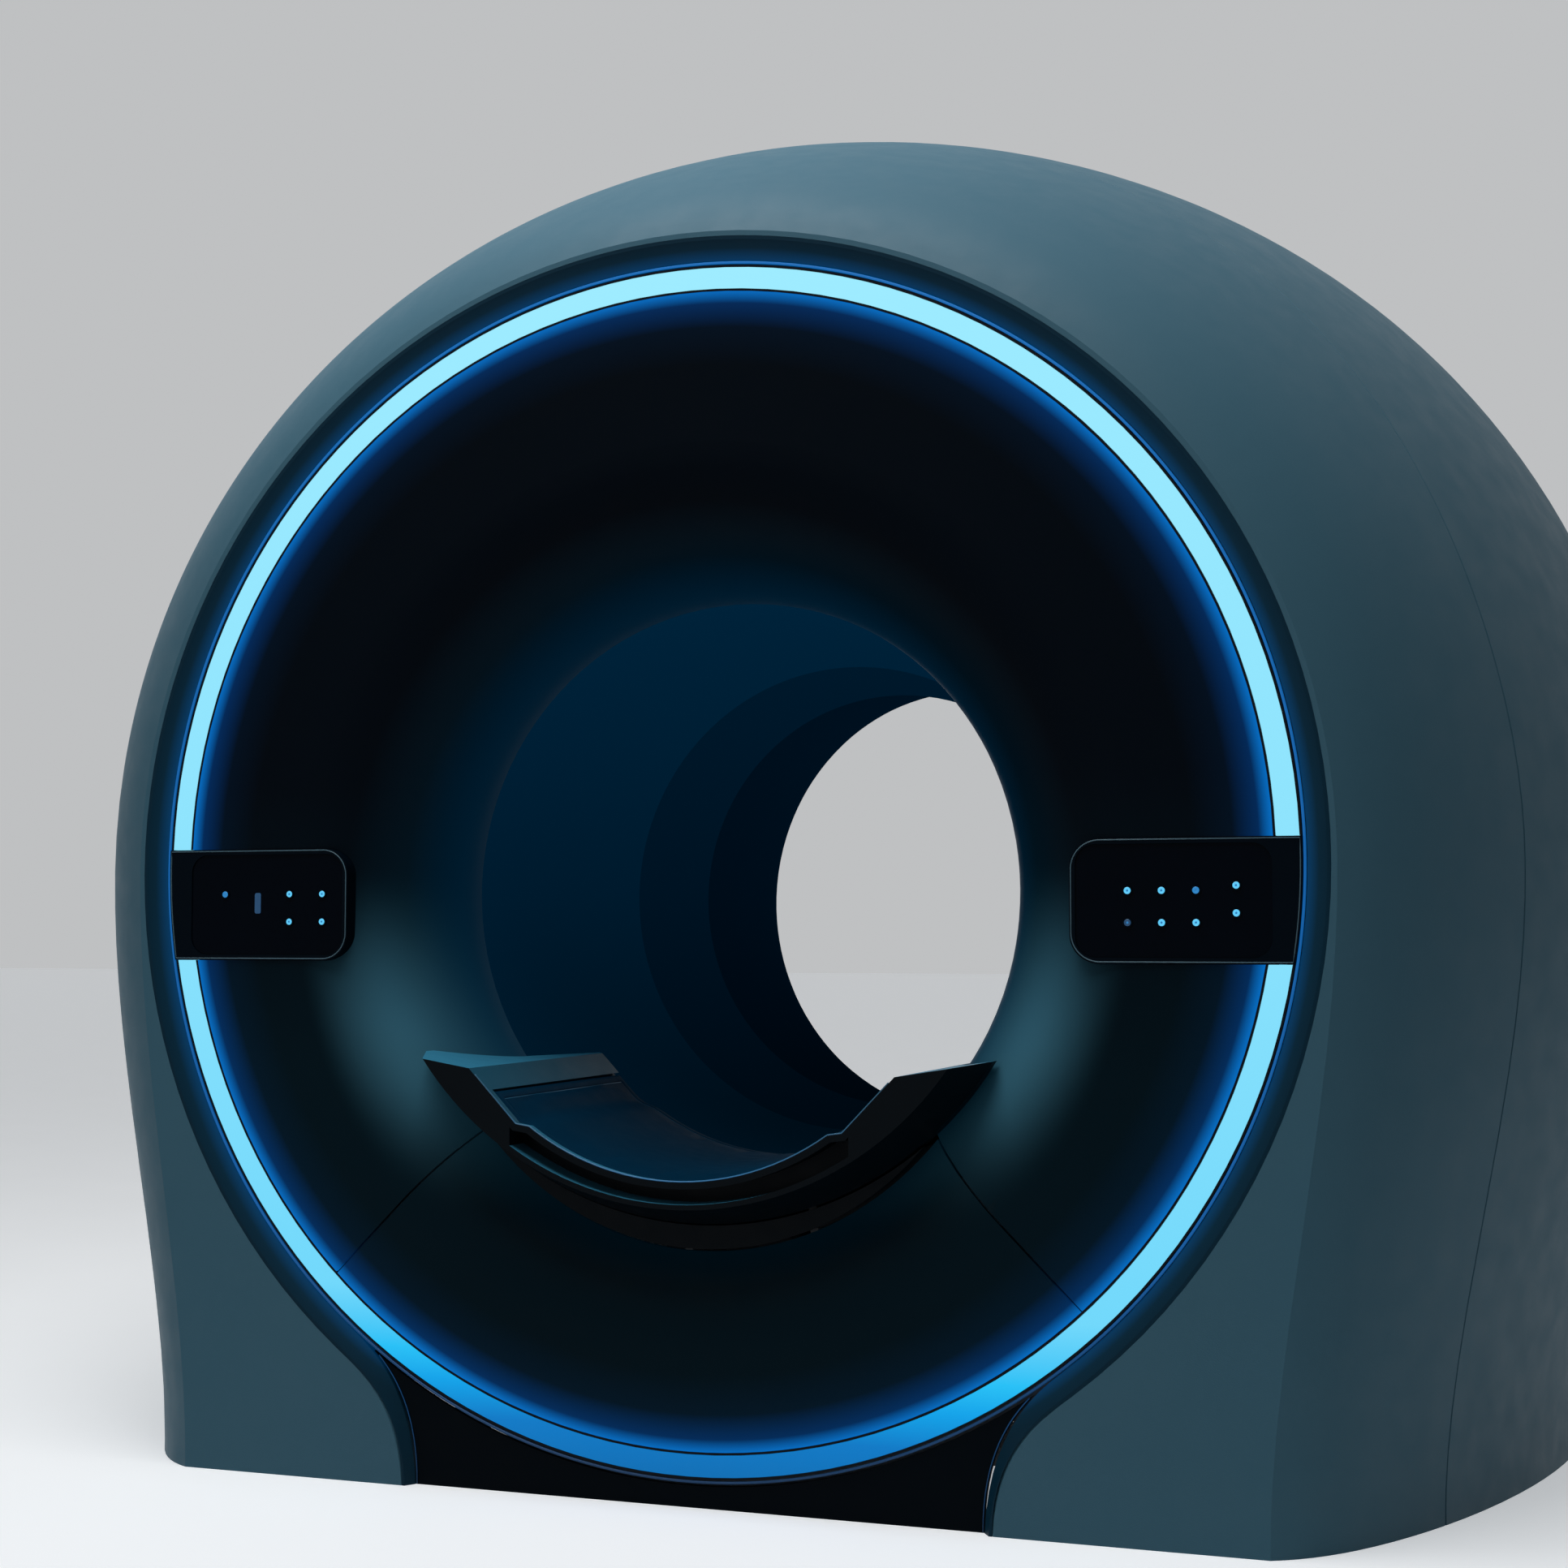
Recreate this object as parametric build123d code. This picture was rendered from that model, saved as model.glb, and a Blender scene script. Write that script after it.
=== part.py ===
from build123d import *
import os
from math import cos, pi, radians, sin, sqrt, tan

# A closed-bore patient scanner with a lit ring round its face, in millimetres, +Z up.
# The origin lies on the floor under the magnet's centre. The face looks along -Y, and +X is to its right.
# A depth is measured from the plane of the light ring towards the back of the scanner.

# Main places
ring_radius = 825
ring_height = 866
bore_drop = 36
cut_overrun = 20
seat_clearance = 0.3
seam_gap = 3

# Outer shell
shell_wall = 8
shell_half_width = 1246
shell_rise = 1209
shell_widest_depth = 825
shell_end_depth = 1609
shell_end_inset = 156
shell_seam_depth = 245
shell_seam_bend_rise = 200
shell_seam_turn_rise = 740
shell_seam_overrun = 6
shell_seam_top_depth = 515
shell_swell_power = 1.49
shell_fall_power = 2
foot_taper_share = 0.106
side_bend_shares = (0.35, 0.7)
shell_stations = 15
band_wall = 4
band_reach = 20
lip_land = 7

# Rear cover
cover_dish = 46
cover_edge_share = 0.4
cover_step = 130
cover_edge_step_share = 0.2
cover_gap = 0.5

# Trim round the face opening, running down into the feet
lip_reach = 35
lip_lead = 14
trim_wall = 5
trim_ring_gap = 9
trim_depth = 30
trim_leave_angle = 38
trim_lip_spread = 9
kick_half_width = 412
kick_curve_shares = (0.42, 0.4)
kick_setback = 2
kick_wall = 6
kick_ring_gap = 3
kick_joint_gap = 0.3

# Light ring
light_band = 30
light_side_gap = 0.5
diffuser_depth = 10
channel_wall = 3
led_width = 10
led_thickness = 2

# Face cover
face_wall = 6
face_rim_gap = 0.5
face_flat_reach = 206
mouth_depth = 204
funnel_rim = 40
funnel_lap_share = 0.5
lower_panel_half_angle = 45

# Bore
bore_front_radius = 419
bore_seam_place = 170
bore_seam_radius = 379
bore_waist_place = 88
bore_waist_radius = 356
bore_wall = 8
rear_neck_room = 110
rear_neck_radius = 398
rear_mouth_radius = 560
bore_joint_gap = 2

# Cradle, measured from the bore's axis
cradle_lead = 50
cradle_length = 400
cradle_drop = 455
cradle_outer_radius = 497
cradle_half_width = 418
cradle_shoulder_half = 308
cradle_shoulder_drop = 245
cradle_step_half = 236
cradle_step_drop = 320
cradle_ledge_half = 216
cradle_ledge_drop = 323
cradle_slot_half = 294
cradle_slot_drop = 200
cradle_wall_clearance = 6
cradle_front_drop = 428
cradle_front_radius = 468
cradle_bevel_depth = 82
cradle_mouth_drop = 421
cradle_mouth_radius = 455
cradle_mouth_half = 245
cradle_mouth_depth = 45
cradle_shelf = 2
pad_drop = 391
pad_thickness = 7
pad_lip = 16
pad_top_gap = 30
pad_side_gap = 1

# Bridge under the cradle
bridge_front_depth = 40
bridge_end_depth = 430
bridge_drop = 490
bridge_radius = 420
bridge_cradle_gap = 3
bridge_notch_gap = 4
bracket_plate = 12
bracket_half_width = 160
bracket_reach = 90
bracket_foot_drop = 640
gusset_place = 100
gusset_thickness = 12

# Telescopic slides between bridge and cradle
slide_seat_drop = 446
slide_seat_half = 170
slide_top_drop = 418
slide_inner_drop = 432
slide_ceiling_drop = 416
slide_place = 152
slide_bar = 11.4
slide_tongue = 5.4
slide_tongue_reach = 3.7
slide_tongue_drop = 426
slide_mid_drop = 432
slide_front_depth = 60
slide_end_depth = 398
slide_pocket_front = 54
slide_pocket_gap = 2
crossbar_width = 12
crossbar_height = 11
crossbar_notch_gap = 6

# Belt drive in the bridge
belt_half_width = 7
belt_thickness = 2
pulley_radius = 10
pulley_drop = 469
pulley_front_depth = 84
pulley_rear_depth = 412
pulley_flange = 1.5
belt_slot_half = 11
belt_slot_end_gap = 6
shaft_radius = 3
shaft_clearance = 0.05
shaft_grip = 10
motor_radius = 12
motor_length = 60
motor_wall_gap = 2
motor_grip = 14

# Control panels
panel_ring_lap = 295
panel_reach = 400
panel_height = 161
panel_drop = 53
panel_corner = 38
panel_proud = 3
panel_back_depth = 24
panel_rim = 8
panel_slot_gap = 0.6
glass_ring_gap = 35
glass_thickness = 4
glass_setback = 2
glass_corner = 26
button_radius = 6.5
button_proud = 2
button_flange_radius = 8.5
button_flange = 3
button_flange_gap = 0.2
button_travel = 1.5
button_bottom_gap = 0.5
left_columns = (203, 95, 41)
left_rows = (38, 78)
right_columns = (76, 120, 164, 215)
right_rows = (40, 81)
right_last_rows = (34, 69)
status_place = 149
status_width = 10
status_height = 30
status_corner = 3

# Magnet
vessel_bore = 505
vessel_floor_gap = 50
vessel_front_depth = 320
vessel_rear_room = 169
vessel_wall = 10
shield_gap_share = 0.072
shield_wall = 4
helium_gap_share = 0.058
helium_wall = 6
former_wall = 12
former_gap = 4
coil_height_share = 0.16
main_coil_width_shares = (0.134, 0.071, 0.054)
main_coil_place_shares = (0.2875, 0.16, 0.053)
shield_coil_width_share = 0.0625
shield_coil_height_share = 0.095
shield_coil_place_share = 0.339
former_disc_share = 0.0125
rod_radius = 7
rod_count = 6
rod_place_share = 0.8
turret_radius = 150
turret_height = 190
turret_place = 180
turret_cap_radius = 175
turret_cap = 24
cold_head_place = 240
cold_flange_radius = 105
cold_flange = 22
cold_body_radius = 62
cold_body = 190
cold_motor_radius = 78
cold_motor = 110

# Gradient and radio-frequency coils
gradient_inner = 440
gradient_outer = 497
gradient_length_share = 0.786
mount_count = 8
mount_angle = 18
mount_width = 40
mount_inset = 60
rf_inner = 414
rf_wall = 4
rf_length_share = 0.473
rf_rung = 3
rf_rung_count = 16
rf_rung_angle = 7
rf_end_ring = 30
rf_flange = 10
support_half_width = 24

# Feet with the floor anchors
foot_place_x = 420
foot_end_room = 180
foot_block_x = 150
foot_block_y = 180
foot_plate_x = 300
foot_plate_y = 220
foot_plate = 20
anchor_place_x = 530
anchor_radius = 13

# Frame behind the face
frame_inner_reach = 185
frame_outer_reach = 20
frame_plate = 8
standoff_radius = 12
standoff_reach = 135
standoff_count = 8
standoff_turn_share = 0.5
strut_reach = 146
strut_radius = 18
strut_count = 4

# Heights and radii that follow from those above
bore_height = ring_height - bore_drop
shell_seam_top_rise = shell_rise + shell_seam_overrun
lip_radius = ring_radius + lip_reach
trim_inner_radius = ring_radius + trim_ring_gap
mouth_radius = ring_radius - face_flat_reach
panel_inner_place = ring_radius - panel_ring_lap
glass_end_place = ring_radius - glass_ring_gap
vessel_radius = bore_height - vessel_floor_gap
vessel_room = vessel_radius - vessel_bore
shield_gap = vessel_room * shield_gap_share
helium_gap = vessel_room * helium_gap_share
coil_height = vessel_room * coil_height_share
shield_coil_height = vessel_room * shield_coil_height_share
frame_inner_radius = ring_radius - frame_inner_reach
frame_outer_radius = ring_radius + frame_outer_reach
standoff_place = ring_radius - standoff_reach
strut_place = ring_radius - strut_reach
light_inner = ring_radius - light_band
channel_inner = light_inner - channel_wall
channel_outer = ring_radius + channel_wall
face_radius = channel_inner - face_rim_gap
lip_edge_radius = lip_radius + trim_wall + seat_clearance + lip_land
shell_end_half_width = shell_half_width - shell_end_inset
shell_end_rise = shell_rise - shell_end_inset
outer_centre = cradle_outer_radius - cradle_drop
front_centre = cradle_front_radius - cradle_front_drop
mouth_centre = cradle_mouth_radius - cradle_mouth_drop
bridge_centre = bridge_radius - bridge_drop
glass_back_depth = glass_setback + glass_thickness - panel_proud
vessel_end_depth = shell_end_depth - vessel_rear_room
vessel_length = vessel_end_depth - vessel_front_depth
isocentre_depth = (vessel_front_depth + vessel_end_depth) / 2
bore_seam_depth = isocentre_depth - bore_seam_place
bore_waist_depth = isocentre_depth + bore_waist_place
rear_neck_depth = vessel_end_depth - rear_neck_room
main_coil_widths = [vessel_length * share for share in main_coil_width_shares]
main_coil_places = [vessel_length * share for share in main_coil_place_shares]
shield_coil_width = vessel_length * shield_coil_width_share
shield_coil_place = vessel_length * shield_coil_place_share
former_disc = vessel_length * former_disc_share
gradient_length = vessel_length * gradient_length_share
rf_length = vessel_length * rf_length_share
foot_place_y = vessel_length / 2 - foot_end_room
sides = {"left": -1, "right": 1}


def back(depth):
    """The Y of a depth behind the light ring's plane."""
    return depth - isocentre_depth


def front_plane(depth, height):
    """A plane facing the viewer, whose own x and y are the part's X and Z."""
    return Plane(origin=(0, back(depth), height), x_dir=(1, 0, 0), z_dir=(0, -1, 0))


def prism(sketch, height, start, end):
    """A sketch in the front plane, run from one depth to another."""
    return extrude(front_plane(end, height) * sketch, amount=end - start)


def disc(radius, height, start, end):
    """A round plug about the Y direction."""
    return prism(Circle(radius), height, start, end)


def turned(edges, height):
    """A closed outline in radius and depth, turned about the Y direction."""
    return Pos(0, 0, height) * revolve(make_face(edges), Axis.Y)


def turned_points(points, height):
    """A straight-sided outline of (radius, depth) points, turned about the Y direction."""
    return turned(Polyline(*[(radius, back(depth)) for radius, depth in points], close=True), height)


def ring(inner, outer, start, end, height):
    """A plain ring."""
    return turned_points([(inner, start), (outer, start), (outer, end), (inner, end)], height)


def block(x_range, z_range, start, end, height=0):
    """A box given by its X and Z limits, from one depth to another."""
    width = x_range[1] - x_range[0]
    rise = z_range[1] - z_range[0]
    middle = Pos((x_range[0] + x_range[1]) / 2, (z_range[0] + z_range[1]) / 2)
    return prism(middle * Rectangle(width, rise), height, start, end)


def fall(radius, half):
    """How far an arc's end at a half width lies from its centre."""
    return sqrt(radius ** 2 - half ** 2)


# Outer shell

def shell_size(depth):
    """Half width and rise of the shell's arch at a depth."""
    if depth <= shell_widest_depth:
        run = (depth + lip_lead) / (shell_widest_depth + lip_lead)
        swell = (1 - (1 - run) ** shell_swell_power) ** (1 / shell_swell_power)
        half = lip_edge_radius + (shell_half_width - lip_edge_radius) * swell
        return half, lip_edge_radius + (shell_rise - lip_edge_radius) * swell
    run = ((depth - shell_widest_depth) / (shell_end_depth - shell_widest_depth)) ** shell_fall_power
    half = shell_half_width + (shell_end_half_width - shell_half_width) * run
    return half, shell_rise + (shell_end_rise - shell_rise) * run


def arch_face(half, rise, depth, inset=0, below=0):
    """An arch with an elliptical crown, whose sides draw in towards the floor."""
    foot = half * (1 - foot_taper_share) - inset
    half = half - inset
    drop = ring_height + below
    low, high = side_bend_shares
    crown = EllipticalCenterArc((0, 0), half, rise - inset, 0, arc_size=180)
    right = Bezier((foot, -drop), (foot, -drop * high), (half, -drop * low), (half, 0))
    left = Bezier((-half, 0), (-half, -drop * low), (-foot, -drop * high), (-foot, -drop))
    floor = Line((-foot, -drop), (foot, -drop))
    return front_plane(depth, ring_height) * make_face([crown, left, floor, right])


def shell_body(inset=0, below=0):
    """The whole shell's outer form, or that form drawn in by an inset, run on past its rear end."""
    run = lip_lead + shell_end_depth + cut_overrun
    depths = [run * number / (shell_stations - 1) - lip_lead for number in range(shell_stations)]
    return loft([arch_face(*shell_size(depth), depth, inset, below) for depth in depths])


def slab(start, end, low=-cut_overrun):
    """A block across the whole scanner between two depths."""
    half = shell_half_width + cut_overrun
    return block((-half, half), (low, ring_height + shell_rise + cut_overrun), start, end)


def side_plane(place, depth, height):
    """A plane facing +X, whose own x and y are the part's Y and Z."""
    return Plane(origin=(place, back(depth), height), x_dir=(0, 1, 0), z_dir=(1, 0, 0))


def beside_seam(shift, limit, low=-cut_overrun):
    """A block across the scanner from the shell's seam to a depth on one side of it."""
    half = shell_half_width + cut_overrun
    depth = shell_seam_depth + shift
    line = Line((depth, low - ring_height), (depth, shell_seam_bend_rise))
    top = (shell_seam_top_depth + shift, shell_seam_top_rise)
    bend = Bezier(line @ 1, (depth, shell_seam_turn_rise), top)
    rest = Polyline(top, (limit, shell_seam_top_rise), (limit, low - ring_height), line @ 0)
    return extrude(side_plane(-half, 0, ring_height) * make_face([line, bend, rest]), amount=2 * half)


def opening_face(radius, half_width, depth, below=0):
    """The face opening: a circle that runs down into the gap between the feet."""
    angle = radians(trim_leave_angle)
    drop = ring_height + below
    leave_x = radius * sin(angle)
    leave_z = -radius * cos(angle)
    run = (leave_x - half_width) / cos(angle)
    first, second = kick_curve_shares
    turn_x = leave_x - run * first * cos(angle)
    turn_z = leave_z - run * first * sin(angle)
    foot_z = leave_z - (drop + leave_z) * second
    start = 270 + trim_leave_angle
    crown = CenterArc((0, 0), radius, start, 360 - 2 * trim_leave_angle)
    left = Bezier((-leave_x, leave_z), (-turn_x, turn_z), (-half_width, foot_z), (-half_width, -drop))
    right = Bezier((half_width, -drop), (half_width, foot_z), (turn_x, turn_z), (leave_x, leave_z))
    floor = Line((-half_width, -drop), (half_width, -drop))
    return front_plane(depth, ring_height) * make_face([crown, left, floor, right])


def opening_plug(grow, below=0):
    """What fills the face opening, grown by a wall: a tapered mouth and a straight throat."""
    lip_half = kick_half_width + trim_lip_spread + grow
    lip = opening_face(lip_radius + grow, lip_half, -lip_lead, below)
    throat = opening_face(trim_inner_radius + grow, kick_half_width + grow, 0, below)
    return loft([lip, throat], ruled=True) + extrude(throat, amount=-trim_depth)


def front_shroud(outer, inner, band_inner):
    """The front half of the shell, with the face opening and a lap band behind its seam."""
    far = shell_seam_top_depth + band_reach + cut_overrun
    near = shell_seam_depth - band_reach - cut_overrun
    skin = outer & beside_seam(-seam_gap / 2, -lip_lead - cut_overrun)
    skin -= inner & slab(shell_wall - lip_lead, far)
    lap = beside_seam(band_reach, near, 0) & beside_seam(-band_reach, far, 0)
    band = (inner & slab(near, far)) & lap
    band -= band_inner & slab(near - cut_overrun, far + cut_overrun)
    grow = trim_wall + seat_clearance
    lip_half = kick_half_width + trim_lip_spread + grow
    ahead = extrude(opening_face(lip_radius + grow, lip_half, -lip_lead, cut_overrun), amount=cut_overrun)
    return skin - opening_plug(grow, cut_overrun) - ahead + band


def rear_shroud(outer, inner):
    """The rear half of the shell."""
    hollow = inner & slab(shell_seam_depth - cut_overrun, shell_end_depth + cut_overrun)
    return (outer & beside_seam(seam_gap / 2, shell_end_depth)) - hollow


def rear_cover_form(inset, below):
    """The rear cover's dished form, or that form drawn in by an inset."""
    start = shell_end_depth + cover_gap
    edge = start + cover_dish * cover_edge_share - inset
    end = start + cover_dish - inset
    sizes = [(start, 0), (edge, cover_step * cover_edge_step_share), (end, cover_step)]
    return loft([arch_face(shell_end_half_width - step, shell_end_rise - step, depth, inset, below)
                 for depth, step in sizes])


def rear_cover():
    """The dished cover over the rear end, open round the bore."""
    end = shell_end_depth + cover_gap + cover_dish
    hole = disc(rear_mouth_radius + bore_joint_gap, bore_height, shell_end_depth, end + cut_overrun)
    return rear_cover_form(0, 0) - rear_cover_form(shell_wall, cut_overrun) - hole


def trim_ring():
    """The sloped band between the shell's lip and the light ring, down to the floor on both sides."""
    return opening_plug(trim_wall) - opening_plug(0, cut_overrun)


def kick_panel():
    """The panel between the feet, below the light ring."""
    radius = trim_inner_radius - kick_joint_gap
    face = opening_face(radius, kick_half_width - kick_joint_gap, kick_setback)
    sheet = extrude(face, amount=-kick_wall)
    return sheet - disc(radius + kick_ring_gap, ring_height, -cut_overrun, kick_wall + cut_overrun)


# Light ring

def panel_slot(side, grow, start, end):
    """The block that a control panel fills, grown by a gap."""
    width = panel_reach + 2 * grow
    shape = RectangleRounded(width, panel_height + 2 * grow, panel_corner + grow)
    middle = panel_inner_place + panel_reach / 2
    return prism(Pos(sides[side] * middle, -panel_drop) * shape, ring_height, start, end)


def panel_slots():
    """Both panels' places, with room round them."""
    start = -lip_lead - cut_overrun
    end = panel_back_depth + panel_slot_gap
    return [panel_slot(side, panel_slot_gap, start, end) for side in sides]


def light_channel():
    """The U-shaped channel that holds the light ring."""
    outline = [(channel_inner, 0), (light_inner, 0), (light_inner, trim_depth - channel_wall),
               (ring_radius, trim_depth - channel_wall), (ring_radius, 0), (channel_outer, 0),
               (channel_outer, trim_depth), (channel_inner, trim_depth)]
    return turned_points(outline, ring_height) - panel_slots()


def led_strip():
    """The strip of lamps on the channel's floor, which runs on behind the panels."""
    middle = ring_radius - light_band / 2
    end = trim_depth - channel_wall
    return ring(middle - led_width / 2, middle + led_width / 2, end - led_thickness, end, ring_height)


def light_diffusers():
    """The lit ring's upper and lower diffusers, parted by the control panels."""
    whole = ring(light_inner + light_side_gap, ring_radius - light_side_gap, 0, diffuser_depth, ring_height)
    parted = whole - panel_slots()
    upper, lower = sorted(parted.solids(), key=lambda solid: -solid.center().Z)
    return upper, lower


# Face cover

def funnel_arc(grow):
    """The rounded mouth from the face to the bore, drawn in by a wall or out by a clearance."""
    centre = (mouth_radius, back(mouth_depth))
    reach = mouth_radius - bore_front_radius
    return EllipticalCenterArc(centre, reach + grow, mouth_depth + grow, 180, arc_size=90)


def face_cover():
    """The whole face: a flat plate about the ring's centre and a funnel about the bore's axis."""
    seen = funnel_arc(0)
    hidden = funnel_arc(-face_wall)
    rim = mouth_radius + funnel_rim
    edge = Polyline(seen @ 1, (rim, back(0)), (rim, back(face_wall)), hidden @ 1)
    close = Line(hidden @ 0, seen @ 0)
    funnel = turned([seen, edge, hidden, close], bore_height)
    hole = disc(mouth_radius + funnel_rim * funnel_lap_share, bore_height, -cut_overrun, cut_overrun)
    plate = disc(face_radius, ring_height, 0, face_wall) - hole
    return plate + funnel - panel_slots()


def face_wedge(gap):
    """The lower sector below the bore, drawn in by half a seam."""
    length = ring_radius + cut_overrun
    spread = length * tan(radians(lower_panel_half_angle))
    tip = gap / sin(radians(lower_panel_half_angle))
    outline = Polyline((0, -tip), (spread, -tip - length), (-spread, -tip - length), close=True)
    return prism(make_face(outline), bore_height, -cut_overrun, mouth_depth + cut_overrun)


def face_cover_upper(face):
    """The face round the top and both sides."""
    return face - face_wedge(-seam_gap / 2)


def face_cover_lower(face):
    """The sector below the bore, cut back round the bridge."""
    height = bore_height + bridge_centre
    notch = disc(bridge_radius + bridge_notch_gap, height, -cut_overrun, mouth_depth + cut_overrun)
    return (face & face_wedge(seam_gap / 2)) - notch


# Bore

def bore_radius_at(depth):
    """The bore's inner radius between its front edge and its seam."""
    share = (depth - mouth_depth) / (bore_seam_depth - mouth_depth)
    return bore_front_radius + (bore_seam_radius - bore_front_radius) * share


def bore_funnel():
    """The front length of the bore, with the cradle's slot in its floor."""
    start = mouth_depth + bore_joint_gap
    end = bore_seam_depth - bore_joint_gap / 2
    tube = turned_points([(bore_radius_at(start), start), (bore_radius_at(start) + bore_wall, start),
                          (bore_radius_at(end) + bore_wall, end), (bore_radius_at(end), end)], bore_height)
    half = cradle_slot_half + cradle_wall_clearance
    slot_end = cradle_length + cradle_wall_clearance
    slot = block((-half, half), (-vessel_radius, -cradle_slot_drop), 0, slot_end, bore_height)
    return tube - slot


def bore_liner():
    """The middle length of the bore, down to its waist."""
    start = bore_seam_depth + bore_joint_gap / 2
    end = bore_waist_depth - bore_joint_gap / 2
    return turned_points([(bore_seam_radius, start), (bore_seam_radius + bore_wall, start),
                          (bore_waist_radius + bore_wall, end), (bore_waist_radius, end)], bore_height)


def rear_flare():
    """The rear length of the bore, opening out to the rear cover."""
    start = bore_waist_depth + bore_joint_gap / 2
    end = shell_end_depth + cover_gap + cover_dish
    centre = (rear_mouth_radius, back(rear_neck_depth))
    reach = rear_mouth_radius - rear_neck_radius
    depth = end - rear_neck_depth
    seen = EllipticalCenterArc(centre, reach, depth, 90, arc_size=90)
    hidden = EllipticalCenterArc(centre, reach - bore_wall, depth - bore_wall, 90, arc_size=90)
    rim = Line(hidden @ 0, seen @ 0)
    waist = [(bore_waist_radius, back(start)), (bore_waist_radius + bore_wall, back(start))]
    neck = Polyline(seen @ 1, *waist, hidden @ 1)
    return turned([seen, neck, hidden, rim], bore_height)


# Cradle, its pad and the bridge that carries them

def hollow_face(grow=0):
    """The hollow that the patient lies in, across the cradle: two slopes with a ledge and a round floor."""
    run = cradle_shoulder_half - cradle_step_half
    rise = cradle_step_drop - cradle_shoulder_drop
    right = Polyline((cradle_shoulder_half + run, rise - cradle_shoulder_drop),
                     (cradle_step_half, -cradle_step_drop), (cradle_ledge_half, -cradle_ledge_drop))
    floor = ThreePointArc(right @ 1, (0, -pad_drop), (-cradle_ledge_half, -cradle_ledge_drop))
    left = mirror(right, Plane.YZ)
    face = make_face([right, floor, left, Line(left @ 0, right @ 0)])
    return offset(face, amount=grow, kind=Kind.INTERSECTION) if grow else face


def cradle_section():
    """The crescent between the round underside, the top facets of both arms and the hollow."""
    tip_height = outer_centre - fall(cradle_outer_radius, cradle_half_width)
    tip = (cradle_half_width, tip_height)
    shoulder = (cradle_shoulder_half, -cradle_shoulder_drop)
    under = ThreePointArc((-cradle_half_width, tip_height), (0, -cradle_drop), tip)
    top = Polyline(tip, shoulder, (-cradle_shoulder_half, -cradle_shoulder_drop), under @ 0)
    return make_face([under, top]) - hollow_face()


def cradle_room():
    """The room that the cradle may fill: inside the funnel and bore, or in the slot of the bore's floor."""
    arc = funnel_arc(cradle_wall_clearance)
    end_radius = bore_radius_at(cradle_length) - cradle_wall_clearance
    front = back(-cradle_length)
    outline = Polyline(arc @ 1, (mouth_radius, front), (0, front), (0, back(cradle_length)),
                       (end_radius, back(cradle_length)), arc @ 0)
    slot = block((-cradle_slot_half, cradle_slot_half), (-vessel_radius, -cradle_slot_drop),
                 -cradle_length, cradle_length, bore_height)
    return turned([arc, outline], bore_height) + slot


def bevel_room():
    """What the long bevel round the front of the underside leaves of the cradle."""
    bevel_end = cradle_bevel_depth - cradle_lead
    front = front_plane(-cradle_lead, bore_height + front_centre) * Circle(cradle_front_radius)
    full = front_plane(bevel_end, bore_height + outer_centre) * Circle(cradle_outer_radius)
    rest = extrude(full, amount=bevel_end - cradle_length)
    return loft([front, full], ruled=True) + rest


def pad_room(grow):
    """Where the pad lies in the hollow's wall, grown by a clearance."""
    top = grow - cradle_shoulder_drop - pad_top_gap
    band = Pos(0, top - cradle_drop / 2) * Rectangle(2 * cradle_half_width, cradle_drop)
    face = (hollow_face(pad_thickness + grow) - hollow_face()) & band
    return prism(face, bore_height, pad_lip - cradle_lead - grow, cradle_length)


def front_mouth():
    """The dark crescent opening in the cradle's front, under the lip that ends the hollow."""
    low = Pos(0, mouth_centre) * Circle(cradle_mouth_radius)
    limit = Rectangle(2 * cradle_mouth_half, 2 * (cradle_drop - cradle_step_drop))
    face = (low & (Pos(0, -cradle_drop) * limit)) - hollow_face(pad_thickness + seat_clearance + cradle_shelf)
    return prism(face, bore_height, -cradle_lead - cut_overrun, cradle_mouth_depth - cradle_lead)


def cradle():
    """The crescent that carries the pad, hollowed below for the slides."""
    body = prism(cradle_section(), bore_height, -cradle_lead, cradle_length) & cradle_room() & bevel_room()
    body -= pad_room(seat_clearance)
    body -= front_mouth()
    pockets = []
    for sign in sides.values():
        near = slide_place - 2 * slide_bar - 2 * seat_clearance - slide_pocket_gap
        far = slide_place + slide_bar + slide_pocket_gap
        limits = sorted((sign * near, sign * far))
        pockets.append(block(limits, (-vessel_radius, -slide_ceiling_drop), slide_pocket_front,
                             cradle_length + cut_overrun, bore_height))
    notch_start = slide_end_depth - crossbar_width - crossbar_notch_gap
    notch = block((-slide_place, slide_place), (-vessel_radius, -slide_inner_drop), notch_start,
                  cradle_length + cut_overrun, bore_height)
    return body - pockets - notch


def cradle_pad():
    """The thin pad let into the hollow, over its floor and up both slopes."""
    end = cradle_length - pad_side_gap
    return pad_room(0) & slab(-cradle_length, end)


def bridge():
    """The fixed crescent beam below the cradle, with seats for the slides and a slot for the belt."""
    under = Pos(0, bridge_centre) * Circle(bridge_radius)
    over = Pos(0, outer_centre) * Circle(cradle_outer_radius + bridge_cradle_gap)
    lower_half = Pos(0, -bridge_radius) * Rectangle(2 * bridge_radius, 2 * bridge_radius)
    beam = prism((under - over) & lower_half, bore_height, bridge_front_depth, bridge_end_depth)
    seat_end = bridge_end_depth + cut_overrun
    seat_limits = (-slide_seat_half, slide_seat_half)
    beam -= block(seat_limits, (-slide_seat_drop, 0), slide_pocket_front, seat_end, bore_height)
    slot = (belt_slot_start(), belt_slot_end())
    beam -= block((-belt_slot_half, belt_slot_half), (-vessel_radius, 0), *slot, bore_height)
    beam -= motor_room()
    reach = belt_slot_half + shaft_grip
    for depth in (pulley_front_depth, pulley_rear_depth):
        beam -= cross_pin(shaft_radius + shaft_clearance, -reach, reach, depth)
    return beam


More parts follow.
